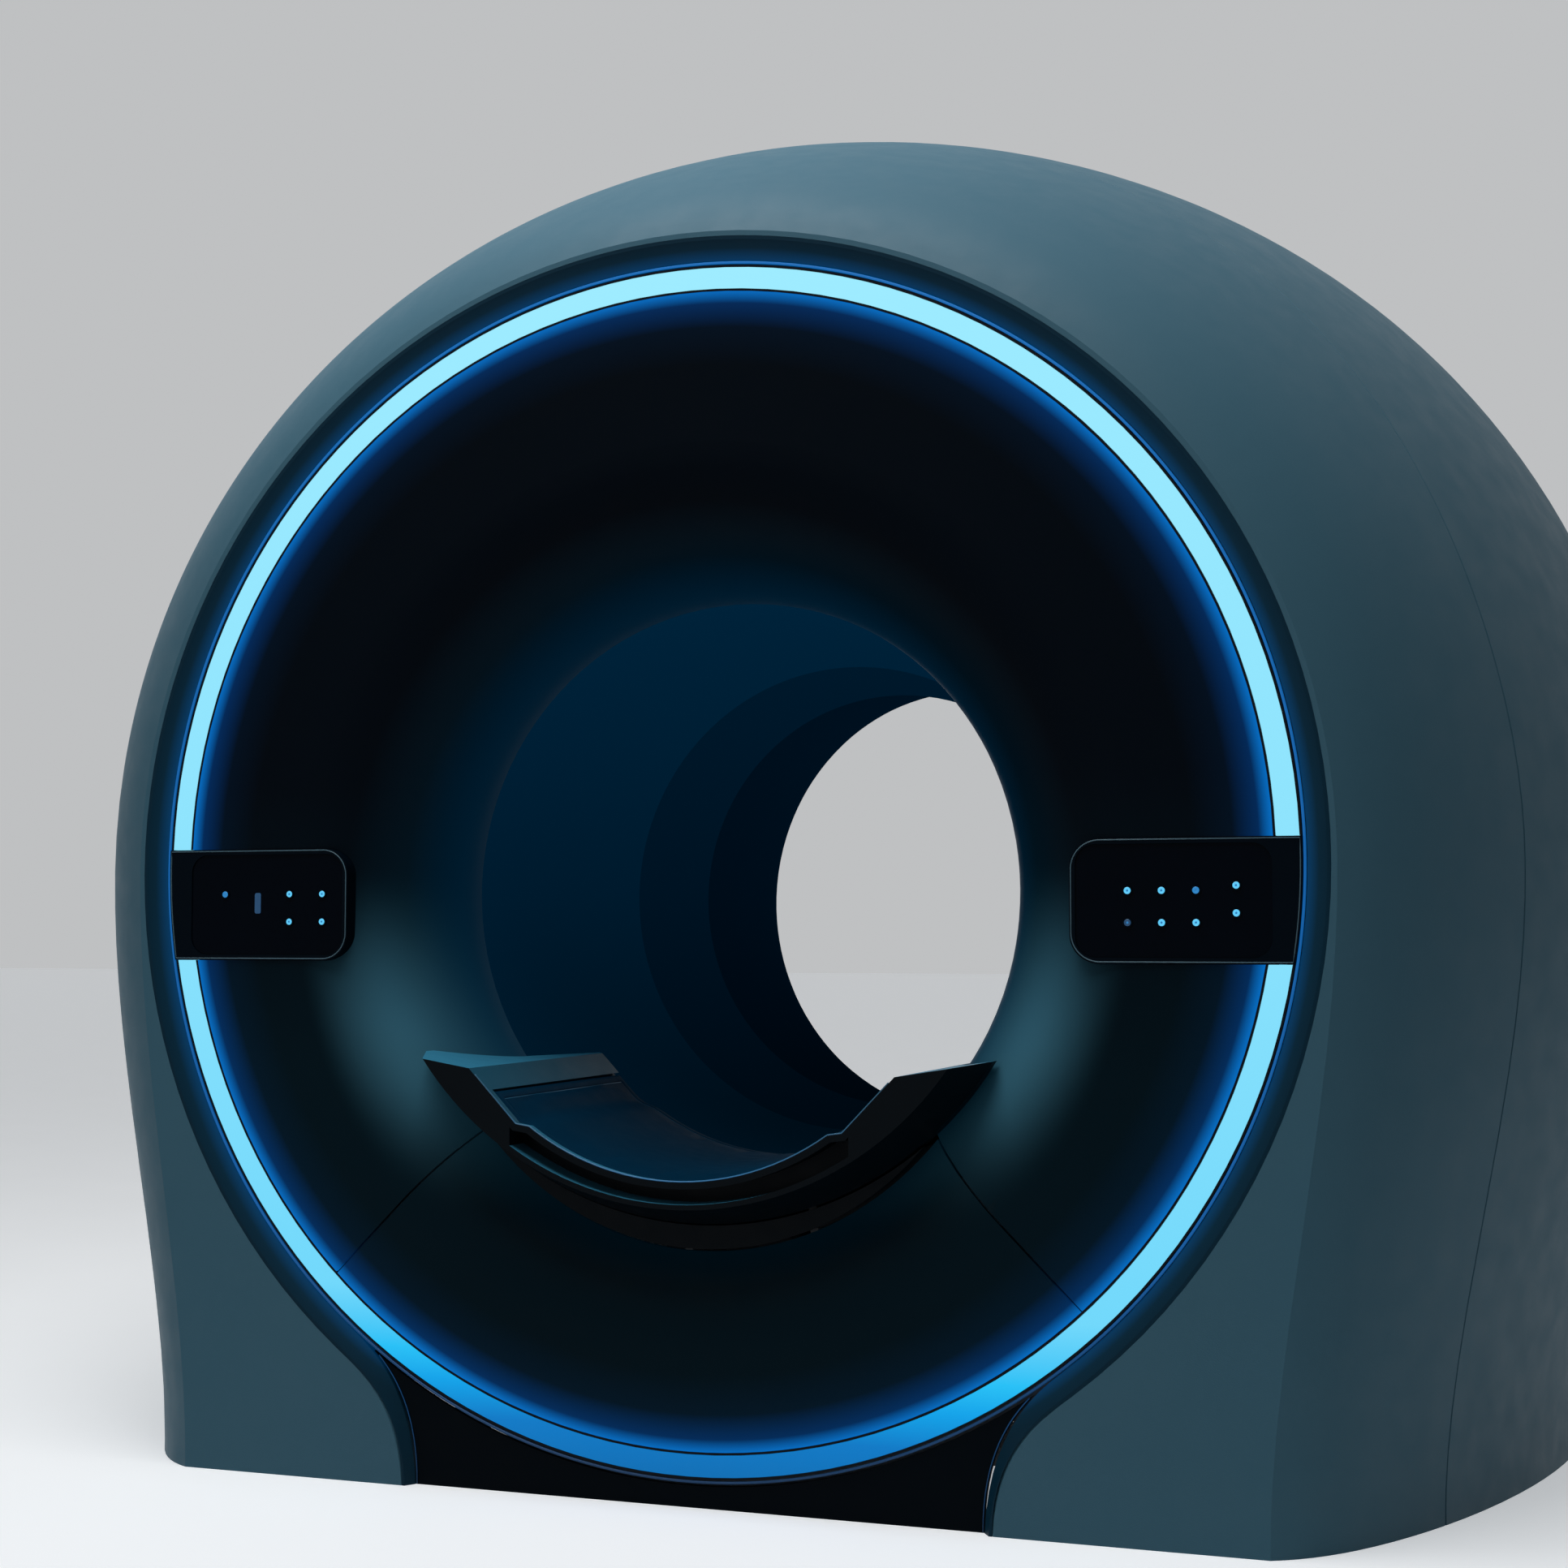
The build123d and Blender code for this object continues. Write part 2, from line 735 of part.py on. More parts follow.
def belt_slot_start():
    """Where the belt's slot in the bridge starts."""
    return pulley_front_depth - pulley_radius - belt_thickness - belt_slot_end_gap


def belt_slot_end():
    """Where the belt's slot in the bridge ends."""
    return pulley_rear_depth + pulley_radius + belt_thickness + belt_slot_end_gap / 2


def cross_pin(radius, start, end, depth):
    """A round bar along X at the pulleys' height."""
    plane = side_plane(start, depth, bore_height - pulley_drop)
    return extrude(plane * Circle(radius), amount=end - start)


def motor_room():
    """The window in the bridge that takes the motor."""
    reach = motor_radius + motor_wall_gap
    start = belt_slot_half + shaft_grip
    return block((start, start + motor_length + motor_wall_gap), (-vessel_radius, 0),
                 pulley_rear_depth - reach, pulley_rear_depth + reach, bore_height)


def bridge_bracket():
    """The bracket that carries the bridge on the magnet's front."""
    end = vessel_front_depth
    top = bracket_plate - bridge_drop
    heights = (-bracket_foot_drop, -vessel_bore)
    plate = block((-bracket_half_width, bracket_half_width), heights, end - bracket_plate, end, bore_height)
    for sign in sides.values():
        plane = side_plane(sign * gusset_place - gusset_thickness / 2, end, bore_height)
        outline = Polyline((-bracket_reach, top), (0, top), (0, -bracket_foot_drop),
                           (-bracket_plate, -bracket_foot_drop), close=True)
        plate += extrude(plane * make_face(outline), amount=gusset_thickness)
    return plate - disc(bridge_radius + seat_clearance, bore_height + bridge_centre, 0, vessel_end_depth)


# Telescopic slides

def slide_bar_section(sign, place, low, top, tongue, groove):
    """One slide member's section: a bar with a tongue on its outer face and a groove in its inner face."""
    width = slide_bar
    shape = Pos(sign * (place - width / 2), -(low + top) / 2) * Rectangle(width, low - top)
    if tongue:
        middle = Pos(sign * (place + slide_tongue_reach / 2), -slide_tongue_drop)
        shape += middle * Rectangle(slide_tongue_reach, slide_tongue)
    if groove:
        depth = slide_tongue_reach + seat_clearance
        middle = Pos(sign * (place - width + depth / 2), -slide_tongue_drop)
        shape -= middle * Rectangle(depth, slide_tongue + 2 * seat_clearance)
    return shape


def slide_outer(sign):
    """The fixed member on the bridge's seat."""
    section = slide_bar_section(sign, slide_place + slide_bar, slide_seat_drop, slide_top_drop, False, True)
    return prism(section, bore_height, slide_front_depth, slide_end_depth)


def slide_mid_frame():
    """Both middle members, joined behind by a crossbar that holds the belt."""
    place = slide_place - seat_clearance
    low = slide_seat_drop - seat_clearance
    start = slide_end_depth - crossbar_width
    frame = block((-place, place), (-low, crossbar_height - low), start, slide_end_depth, bore_height)
    for sign in sides.values():
        section = slide_bar_section(sign, place, slide_mid_drop, slide_top_drop, True, True)
        frame += prism(section, bore_height, slide_front_depth, slide_end_depth)
        limits = sorted((sign * place, sign * (place - slide_bar)))
        frame += block(limits, (-low, -slide_mid_drop), start, slide_end_depth, bore_height)
    belt_top = pulley_drop - pulley_radius - belt_thickness - seat_clearance
    clamp = block((-belt_half_width, belt_half_width), (-belt_top, -low), start, slide_end_depth, bore_height)
    return frame + clamp


def slide_inner(sign):
    """The moving member under the cradle."""
    place = slide_place - slide_bar - 2 * seat_clearance
    section = slide_bar_section(sign, place, slide_inner_drop, slide_ceiling_drop, True, False)
    return prism(section, bore_height, slide_front_depth, slide_end_depth)


# Belt drive

def pulley(depth, shaft_end):
    """A flanged pulley with its shaft, across the bridge's slot."""
    rim = belt_half_width + seat_clearance
    reach = belt_slot_half + shaft_grip
    body = cross_pin(pulley_radius - seat_clearance, -rim, rim, depth)
    for start in (-rim - pulley_flange, rim):
        body += cross_pin(pulley_radius + belt_thickness, start, start + pulley_flange, depth)
    return body + cross_pin(shaft_radius, -reach, shaft_end, depth)


def drive_belt():
    """The closed belt round both pulleys."""
    length = pulley_rear_depth - pulley_front_depth
    middle = (pulley_front_depth + pulley_rear_depth) / 2
    plane = side_plane(-belt_half_width, middle, bore_height - pulley_drop)
    outer = SlotCenterToCenter(length, 2 * (pulley_radius + belt_thickness))
    inner = SlotCenterToCenter(length, 2 * pulley_radius)
    return extrude(plane * (outer - inner), amount=2 * belt_half_width)


def drive_motor():
    """The motor in the bridge, on the rear pulley's shaft."""
    start = belt_slot_half + shaft_grip
    body = cross_pin(motor_radius, start, start + motor_length, pulley_rear_depth)
    socket_end = start + motor_grip + motor_wall_gap
    return body - cross_pin(shaft_radius + shaft_clearance, start, socket_end, pulley_rear_depth)


# Control panels

def button_places():
    """Each button's name, side and place on its panel."""
    left = [(left_columns[0], left_rows[0])]
    left += [(column, row) for column in left_columns[1:] for row in left_rows]
    right = [(column, row) for column in right_columns[:-1] for row in right_rows]
    right += [(right_columns[-1], row) for row in right_last_rows]
    named = []
    for side, places in (("left", left), ("right", right)):
        for number, (column, row) in enumerate(places, 1):
            named.append((f"button_{side}_{number}", sides[side], panel_inner_place + column, row))
    return named


def button_bores(sign, radius, start, end):
    """Round plugs at one panel's button places."""
    return [prism(Pos(side * column, -row) * Circle(radius), ring_height, start, end)
            for _, side, column, row in button_places() if side == sign]


def glass_shape(grow=0):
    """The glass plate's outline, at the right-hand panel's place."""
    inner = panel_inner_place + panel_rim
    width = glass_end_place - inner
    shape = RectangleRounded(width + 2 * grow, panel_height - 2 * panel_rim + 2 * grow, glass_corner)
    return Pos(inner + width / 2, -panel_drop) * shape


def status_shape(grow=0):
    """The status light's outline on the left-hand panel."""
    drop = sum(left_rows) / len(left_rows) - status_height / 2 + panel_rim
    outline = RectangleRounded(status_width + 2 * grow, status_height + 2 * grow, status_corner)
    return Pos(-panel_inner_place - status_place, -drop) * outline


def panel_housing(side):
    """The tray of a control panel, which breaks the light ring."""
    sign = sides[side]
    tray = panel_slot(side, 0, -panel_proud, panel_back_depth)
    tray &= disc(channel_outer, ring_height, -panel_proud, panel_back_depth)
    glass = glass_shape(seat_clearance)
    glass = glass if sign > 0 else mirror(glass, Plane.YZ)
    tray -= prism(glass, ring_height, -panel_proud - cut_overrun, glass_back_depth)
    bottom = glass_back_depth + button_flange_gap + button_flange + button_travel + button_bottom_gap
    return tray - button_bores(sign, button_flange_radius + seat_clearance, glass_back_depth, bottom)


def panel_glass(side):
    """The dark glass plate, with holes for the buttons."""
    sign = sides[side]
    glass = glass_shape() if sign > 0 else mirror(glass_shape(), Plane.YZ)
    start = glass_back_depth - glass_thickness
    plate = prism(glass, ring_height, start, glass_back_depth)
    through = (start - cut_overrun, glass_back_depth + cut_overrun)
    plate -= button_bores(sign, button_radius + seat_clearance, *through)
    if side == "left":
        plate -= prism(status_shape(seat_clearance), ring_height, *through)
    return plate


def button(sign, column, row):
    """A push button with a flange that holds it behind the glass."""
    place = Pos(sign * column, -row)
    flange_start = glass_back_depth + button_flange_gap
    front = glass_back_depth - glass_thickness - button_proud
    flange_end = flange_start + button_flange
    cap = prism(place * Circle(button_radius), ring_height, front, flange_start)
    return cap + prism(place * Circle(button_flange_radius), ring_height, flange_start, flange_end)


def status_light():
    """The upright status light, set flush in the left-hand glass."""
    return prism(status_shape(), ring_height, glass_back_depth - glass_thickness, glass_back_depth)


# Magnet

def hollow_drum(bore, radius, start, end, wall):
    """A closed ring-shaped vessel with a wall all round."""
    whole = ring(bore, radius, start, end, bore_height)
    return whole - ring(bore + wall, radius - wall, start + wall, end - wall, bore_height)


def vacuum_vessel():
    """The outer vessel with its service turret."""
    drum = hollow_drum(vessel_bore, vessel_radius, vessel_front_depth, vessel_end_depth, vessel_wall)
    inside = disc(vessel_radius - vessel_wall, bore_height, vessel_front_depth, vessel_end_depth)
    seat = Plane.XY.offset(bore_height + vessel_radius + turret_height)
    neck = extrude(seat * Circle(turret_radius), amount=-turret_height - vessel_wall)
    cap = extrude(seat * Circle(turret_cap_radius), amount=turret_cap)
    place = Pos(0, turret_place, 0)
    return drum + (place * neck - inside) + place * cap


def nested(gap):
    """A vessel's bore, radius and ends, drawn in from the vacuum vessel's."""
    return vessel_bore + gap, vessel_radius - gap, vessel_front_depth + gap, vessel_end_depth - gap


def radiation_shield():
    """The thin shield between the vacuum vessel and the helium vessel."""
    shell = hollow_drum(*nested(vessel_wall + shield_gap), shield_wall)
    return shell - suspension_bars(rod_radius + seat_clearance)


def helium_depth():
    """How far the helium vessel lies inside the vacuum vessel."""
    return vessel_wall + shield_gap + shield_wall + helium_gap


def helium_vessel():
    """The vessel that holds the coils."""
    return hollow_drum(*nested(helium_depth()), helium_wall)


def suspension_bars(radius):
    """Bars from the vacuum vessel's ends to the helium vessel's ends."""
    bore, outer, start, end = nested(helium_depth())
    place = bore + (outer - bore) * rod_place_share
    bars = []
    for number in range(rod_count):
        angle = 2 * pi * number / rod_count
        spot = Pos(place * cos(angle), place * sin(angle)) * Circle(radius)
        bars.append(prism(spot, bore_height, vessel_front_depth + vessel_wall, start))
        bars.append(prism(spot, bore_height, end, vessel_end_depth - vessel_wall))
    return bars


def former_radius():
    """The radius that the main coils are wound on."""
    return vessel_bore + helium_depth() + helium_wall + former_wall


def coil_former():
    """The tube that the coils are wound on, with a disc at each end for the shield coils."""
    inner = former_radius() - former_wall + seat_clearance
    start = isocentre_depth - shield_coil_place - shield_coil_width / 2
    end = isocentre_depth + shield_coil_place + shield_coil_width / 2
    top = shield_coil_radius() - seat_clearance
    radius = former_radius()
    outline = [(inner, start), (top, start), (top, start + former_disc), (radius, start + former_disc),
               (radius, end - former_disc), (top, end - former_disc), (top, end), (inner, end)]
    return turned_points(outline, bore_height)


def shield_coil_radius():
    """The inner radius of the shield coils."""
    return vessel_radius - helium_depth() - helium_wall - former_gap - shield_coil_height


def main_coils():
    """The six main windings on the former."""
    coils = []
    inner = former_radius() + seat_clearance
    for sign in sides.values():
        for place, width in zip(main_coil_places, main_coil_widths):
            start = isocentre_depth + sign * place - width / 2
            coils.append(ring(inner, inner + coil_height, start, start + width, bore_height))
    return coils


def shield_coils():
    """The two windings that hold in the stray field."""
    coils = []
    for sign in sides.values():
        start = isocentre_depth + sign * shield_coil_place - shield_coil_width / 2
        outer = shield_coil_radius() + shield_coil_height
        coils.append(ring(shield_coil_radius(), outer, start, start + shield_coil_width, bore_height))
    return coils


def gradient_coil():
    """The gradient coil's cast tube inside the magnet."""
    half = gradient_length / 2
    return ring(gradient_inner, gradient_outer, isocentre_depth - half, isocentre_depth + half, bore_height)


def sector(angle, span, start, end, inner, outer):
    """A short piece of a ring about the bore, at an angle from +X."""
    near = [(inner, back(start)), (outer, back(start))]
    far = [(outer, back(end)), (inner, back(end))]
    piece = revolve(make_face(Polyline(*near, *far, close=True)), Axis.Y, revolution_arc=span)
    return Pos(0, 0, bore_height) * Rot(0, angle, 0) * piece


def gradient_mounts():
    """The wedges between the gradient coil and the magnet's bore."""
    wedges = []
    for sign in sides.values():
        start = isocentre_depth + sign * (gradient_length / 2 - mount_inset) - mount_width / 2
        for number in range(mount_count):
            wedges.append(sector(360 * number / mount_count, mount_angle, start, start + mount_width,
                                 gradient_outer + seat_clearance, vessel_bore - seat_clearance))
    return wedges


def rf_coil():
    """The body coil: a tube with end rings and rungs, held by a flange at each end."""
    start = isocentre_depth - rf_length / 2
    end = isocentre_depth + rf_length / 2
    outer = rf_inner + rf_wall
    top = outer + rf_rung
    body = ring(rf_inner, outer, start, end, bore_height)
    for near in (start, end - rf_flange):
        body += ring(rf_inner, gradient_inner - seat_clearance, near, near + rf_flange, bore_height)
    for near in (start + rf_flange, end - rf_flange - rf_end_ring):
        body += ring(rf_inner, top, near, near + rf_end_ring, bore_height)
    turn = 360 / rf_rung_count
    rungs = [sector(turn * number, rf_rung_angle, start + rf_flange, end - rf_flange, rf_inner, top)
             for number in range(rf_rung_count)]
    return body + rungs


def liner_supports():
    """The rings that hold the bore inside the body coil, at its two seams."""
    outer = rf_inner - seat_clearance
    seams = ((bore_seam_depth, front_bore_radius, middle_bore_radius),
             (bore_waist_depth, middle_bore_radius, rear_bore_radius))
    pieces = []
    for middle, before, after in seams:
        start = middle - support_half_width
        end = middle + support_half_width
        inner = max(before(middle), after(middle)) + seat_clearance
        points = [(outer, start), (before(start) + seat_clearance, start), (inner, middle),
                  (after(end) + seat_clearance, end), (outer, end)]
        pieces.append(turned_points(points, bore_height))
    return pieces


def front_bore_radius(depth):
    """The outside of the front bore length."""
    return bore_radius_at(depth) + bore_wall


def middle_bore_radius(depth):
    """The outside of the middle bore length."""
    start = bore_seam_depth + bore_joint_gap / 2
    end = bore_waist_depth - bore_joint_gap / 2
    share = (depth - start) / (end - start)
    return bore_seam_radius + (bore_waist_radius - bore_seam_radius) * share + bore_wall


def rear_bore_radius(depth):
    """The outside of the rear bore length, up to its neck."""
    start = bore_waist_depth + bore_joint_gap / 2
    share = (depth - start) / (rear_neck_depth - start)
    return bore_waist_radius + (rear_neck_radius - bore_waist_radius) * share + bore_wall


def cold_head():
    """The cold head that stands on the vessel, flange first."""
    top = bore_height + vessel_radius
    base = top - vessel_wall - cold_flange
    body = extrude(Plane.XY.offset(base) * Circle(cold_flange_radius), amount=top + cold_flange - base)
    body += extrude(Plane.XY.offset(top) * Circle(cold_body_radius), amount=cold_flange + cold_body)
    head = Plane.XY.offset(top + cold_flange + cold_body)
    body += extrude(head * Circle(cold_motor_radius), amount=cold_motor)
    body = Pos(0, -cold_head_place, 0) * body
    return body - disc(vessel_radius + seat_clearance, bore_height, vessel_front_depth, vessel_end_depth)


def magnet_feet():
    """Four saddles under the magnet, each with a floor plate and an anchor hole."""
    feet = []
    saddle = disc(vessel_radius + seat_clearance, bore_height, 0, vessel_end_depth)
    for sign_x in sides.values():
        for sign_y in sides.values():
            middle = Pos(sign_x * foot_place_x, sign_y * foot_place_y)
            foot = extrude(middle * Rectangle(foot_block_x, foot_block_y), amount=bore_height) - saddle
            foot += extrude(middle * Rectangle(foot_plate_x, foot_plate_y), amount=foot_plate)
            anchor = Pos(sign_x * anchor_place_x, sign_y * foot_place_y)
            feet.append(foot - extrude(anchor * Circle(anchor_radius), amount=foot_plate))
    return feet


def cover_frame():
    """The ring frame that carries the face, the light ring and the trim on the magnet."""
    end = trim_depth + frame_plate
    frame = ring(frame_inner_radius, frame_outer_radius, trim_depth, end, ring_height)
    for number in range(standoff_count):
        angle = 2 * pi * (number + standoff_turn_share) / standoff_count
        spot = Pos(standoff_place * cos(angle), standoff_place * sin(angle)) * Circle(standoff_radius)
        frame += prism(spot, ring_height, face_wall, trim_depth)
    for number in range(strut_count):
        angle = 2 * pi * (number + standoff_turn_share) / strut_count
        spot = Pos(strut_place * cos(angle), strut_place * sin(angle)) * Circle(strut_radius)
        frame += prism(spot, ring_height, end, vessel_front_depth)
    return frame


def build():
    """Every node of the scanner by its name."""
    outer = shell_body()
    inner = shell_body(shell_wall, cut_overrun)
    band_inner = shell_body(shell_wall + band_wall, cut_overrun)
    face = face_cover()
    upper_light, lower_light = light_diffusers()
    nodes = {
        "front_shroud": front_shroud(outer, inner, band_inner),
        "rear_shroud": rear_shroud(outer, inner),
        "rear_cover": rear_cover(),
        "face_cover_upper": face_cover_upper(face),
        "face_cover_lower": face_cover_lower(face),
        "trim_ring": trim_ring(),
        "kick_panel": kick_panel(),
        "light_diffuser_upper": upper_light,
        "light_diffuser_lower": lower_light,
        "light_channel": light_channel(),
        "led_strip": led_strip(),
        "bore_funnel": bore_funnel(),
        "bore_liner": bore_liner(),
        "rear_flare": rear_flare(),
        "status_light": status_light(),
        "cradle": cradle(),
        "cradle_pad": cradle_pad(),
        "bridge": bridge(),
        "bridge_bracket": bridge_bracket(),
        "slide_mid_frame": slide_mid_frame(),
        "drive_motor": drive_motor(),
        "drive_pulley": pulley(pulley_rear_depth, belt_slot_half + shaft_grip + motor_grip),
        "idler_pulley": pulley(pulley_front_depth, belt_slot_half + shaft_grip),
        "drive_belt": drive_belt(),
        "vacuum_vessel": vacuum_vessel(),
        "radiation_shield": radiation_shield(),
        "helium_vessel": helium_vessel(),
        "suspension_rods": suspension_bars(rod_radius),
        "coil_former": coil_former(),
        "main_coils": main_coils(),
        "shield_coils": shield_coils(),
        "gradient_coil": gradient_coil(),
        "gradient_mounts": gradient_mounts(),
        "rf_coil": rf_coil(),
        "liner_supports": liner_supports(),
        "cold_head": cold_head(),
        "magnet_feet": magnet_feet(),
        "cover_frame": cover_frame(),
    }
    for side, sign in sides.items():
        nodes[f"panel_housing_{side}"] = panel_housing(side)
        nodes[f"panel_glass_{side}"] = panel_glass(side)
        nodes[f"slide_outer_{side}"] = slide_outer(sign)
        nodes[f"slide_inner_{side}"] = slide_inner(sign)
    for name, sign, column, row in button_places():
        nodes[name] = button(sign, column, row)
    return nodes


def solids_of(shape):
    """The separate solids of a node, whether it is one shape or a list of them."""
    pieces = shape if isinstance(shape, list) else [shape]
    return [solid for piece in pieces for solid in piece.solids()]


def main():
    """Write one STEP file for each node."""
    os.makedirs("parts", exist_ok=True)
    for name, shape in build().items():
        solids = solids_of(shape)
        export_step(solids[0] if len(solids) == 1 else Compound(children=solids), f"parts/{name}.step")


main()
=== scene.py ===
import math
import bmesh
import bpy
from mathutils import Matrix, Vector
from mathutils.bvhtree import BVHTree


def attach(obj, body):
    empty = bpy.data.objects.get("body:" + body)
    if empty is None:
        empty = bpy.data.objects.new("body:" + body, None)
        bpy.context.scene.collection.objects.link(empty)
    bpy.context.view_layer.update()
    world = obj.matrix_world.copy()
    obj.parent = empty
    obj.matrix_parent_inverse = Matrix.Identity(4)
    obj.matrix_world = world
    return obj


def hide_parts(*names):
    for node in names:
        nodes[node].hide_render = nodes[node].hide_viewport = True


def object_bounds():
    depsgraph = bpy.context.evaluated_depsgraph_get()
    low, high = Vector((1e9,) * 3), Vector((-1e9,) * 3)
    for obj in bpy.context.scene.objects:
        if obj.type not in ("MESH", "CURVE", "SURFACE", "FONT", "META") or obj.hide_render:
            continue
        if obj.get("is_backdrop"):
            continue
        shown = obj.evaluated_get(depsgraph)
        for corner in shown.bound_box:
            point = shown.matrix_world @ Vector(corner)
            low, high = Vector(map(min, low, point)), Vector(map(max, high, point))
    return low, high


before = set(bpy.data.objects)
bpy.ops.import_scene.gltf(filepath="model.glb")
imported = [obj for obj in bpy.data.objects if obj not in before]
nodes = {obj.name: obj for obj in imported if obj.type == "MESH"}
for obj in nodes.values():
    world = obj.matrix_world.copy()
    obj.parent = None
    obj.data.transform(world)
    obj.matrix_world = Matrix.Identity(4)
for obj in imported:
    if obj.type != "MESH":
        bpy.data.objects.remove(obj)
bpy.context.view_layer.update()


def box(name):
    """Lowest and highest corner of a CAD node."""
    points = [vertex.co for vertex in nodes[name].data.vertices]
    return [Vector([pick(point[axis] for point in points) for axis in range(3)]) for pick in (min, max)]


# Places that the solids give, in metres
channel_low, channel_high = box("light_channel")
RING_Z = (channel_low.z + channel_high.z) / 2
FRONT_Y = channel_low.y
CHANNEL_R = (channel_high.z - channel_low.z) / 2
liner_low, liner_high = box("bore_liner")
BORE_Z = (liner_low.z + liner_high.z) / 2
RING_R = max(math.hypot(v.co.x, v.co.z - RING_Z) for v in nodes["light_diffuser_upper"].data.vertices)
TRIM_R = min(math.hypot(v.co.x, v.co.z - RING_Z) for v in nodes["trim_ring"].data.vertices if v.co.z > RING_Z)

# Where painted shade, painted highlights and painted glow change over the face, the trim, the bore and the
# cradle's edge, in metres
PAINTED_HALO_SPAN = (0.690, 0.793)
PAINTED_MOUTH_GLOW_SPAN = (0.425, 0.54)
TRIM_PAINTED_GLOW_REACH = 0.03
BORE_PAINTED_GLOW_REACH = 0.42
LIP_PAINTED_GLOW_DROPS = (0.40, 0.24)
FACE_SHADE_RISE = 0.15
FACE_SHADE_DROP = 0.25
PAINTED_HIGHLIGHT_RADIUS = 0.505
PAINTED_HIGHLIGHT_REACH = 0.115
PAINTED_HIGHLIGHT_DROP = 0.21
PAINTED_HIGHLIGHT_HEIGHT = 0.25

# Upward share of a face's direction at which the cradle's painted shade on its sides gives way to a painted
# lit tone on its tops
LIT_TOP_SPAN = (0.5, 0.97)


def srgb(red, green, blue):
    """A colour written in 0 to 255 as linear values."""
    def line(value):
        value /= 255
        return value / 12.92 if value <= 0.04045 else ((value + 0.055) / 1.055) ** 2.4
    return line(red), line(green), line(blue), 1.0


def tint(colour, share):
    """A colour made lighter or darker by a share."""
    return tuple(min(1.0, c * (1 + share)) for c in colour[:3]) + (1.0,)


# Materials

class Paint:
    """A principled material with the noise, bump and gradients that it is given."""

    def __init__(self, name, rough=0.45, metallic=0.0, specular=0.5):
        self.made = bpy.data.materials.new(name)
        self.made.use_nodes = True
        self.tree = self.made.node_tree
        self.shader = self.tree.nodes["Principled BSDF"]
        self.set("Roughness", rough)
        self.set("Metallic", metallic)
        self.set("Specular IOR Level", specular)
        self.place = self.node("ShaderNodeTexCoord").outputs["Object"]

    def node(self, kind, **values):
        """A new node with its settings and inputs."""
        made = self.tree.nodes.new(kind)
        for name, value in values.items():
            if hasattr(made, name):
                setattr(made, name, value)
            else:
                made.inputs[name].default_value = value
        return made

    def link(self, start, end):
        self.tree.links.new(start, end)

    def set(self, socket, value):
        self.shader.inputs[socket].default_value = value

    def noise(self, scale, detail=3.0, stretch=None):
        """Noise over the object, drawn out along its axes if asked."""
        place = self.place
        if stretch:
            spread = self.node("ShaderNodeVectorMath", operation="MULTIPLY")
            self.link(place, spread.inputs[0])
            spread.inputs[1].default_value = stretch
            place = spread.outputs[0]
        made = self.node("ShaderNodeTexNoise", Scale=scale, Detail=detail)
        self.link(place, made.inputs["Vector"])
        return made.outputs["Fac"]

    def ramp(self, source, stops):
        """A colour by a value, through stops of place and colour."""
        made = self.node("ShaderNodeValToRGB")
        points = made.color_ramp.elements
        points[0].position, points[0].color = stops[0]
        points[1].position, points[1].color = stops[-1]
        for position, colour in stops[1:-1]:
            points.new(position).color = colour
        self.link(source, made.inputs["Fac"])
        return made.outputs["Color"]

    def span(self, source, low, high, start, end):
        """A value carried from one range to another."""
        made = self.node("ShaderNodeMapRange")
        self.link(source, made.inputs["Value"])
        for name, value in (("From Min", low), ("From Max", high), ("To Min", start), ("To Max", end)):
            made.inputs[name].default_value = value
        return made.outputs["Result"]

    def maths(self, operation, first, second=None):
        """One step of arithmetic on values or sockets."""
        made = self.node("ShaderNodeMath", operation=operation)
        for number, value in enumerate((first, second)):
            if value is None:
                continue
            if isinstance(value, (int, float)):
                made.inputs[number].default_value = value
            else:
                self.link(value, made.inputs[number])
        return made.outputs[0]

    def colour(self, colour, vary=0.05, scale=2.5):
        """Base colour with soft patches a little lighter and darker."""
        self.link(self.patches(colour, vary, scale), self.shader.inputs["Base Color"])
        return self

    def worn(self, low, high, scale=30.0):
        """Roughness that changes over the surface."""
        self.link(self.span(self.noise(scale, 5.0), 0.3, 0.7, low, high), self.shader.inputs["Roughness"])
        return self

    def grain(self, scale, depth, stretch=None, strength=0.4):
        """Fine relief: the skin of moulded plastic, paint or cloth."""
        bump = self.node("ShaderNodeBump", Strength=strength, Distance=depth)
        self.link(self.noise(scale, 2.0, stretch), bump.inputs["Height"])
        self.link(bump.outputs["Normal"], self.shader.inputs["Normal"])
        return self

    def axis(self, name, source=None):
        """One axis of the place on the object, or of another vector."""
        parted = self.node("ShaderNodeSeparateXYZ")
        self.link(source or self.place, parted.inputs[0])
        return parted.outputs[name]

    def mixed(self, factor, first, second):
        """A mix of two colour sources."""
        mix = self.node("ShaderNodeMix", data_type="RGBA")
        self.link(factor, mix.inputs["Factor"])
        self.link(first, mix.inputs[6])
        self.link(second, mix.inputs[7])
        return mix.outputs[2]

    def patches(self, colour, vary, scale):
        """A colour in soft patches a little lighter and darker."""
        return self.ramp(self.noise(scale, 4.0), [(0.3, tint(colour, -vary)), (0.7, tint(colour, vary))])

    def bump_of(self, source, middle, reach):
        """1 at a middle value, falling smoothly to 0 at a reach to either side."""
        away = self.maths("ABSOLUTE", self.maths("SUBTRACT", source, middle))
        fall = self.span(away, 0.0, reach, 1.0, 0.0)
        slope = self.maths("SUBTRACT", 3.0, self.maths("MULTIPLY", fall, 2.0))
        return self.maths("MULTIPLY", fall, self.maths("MULTIPLY", fall, slope))

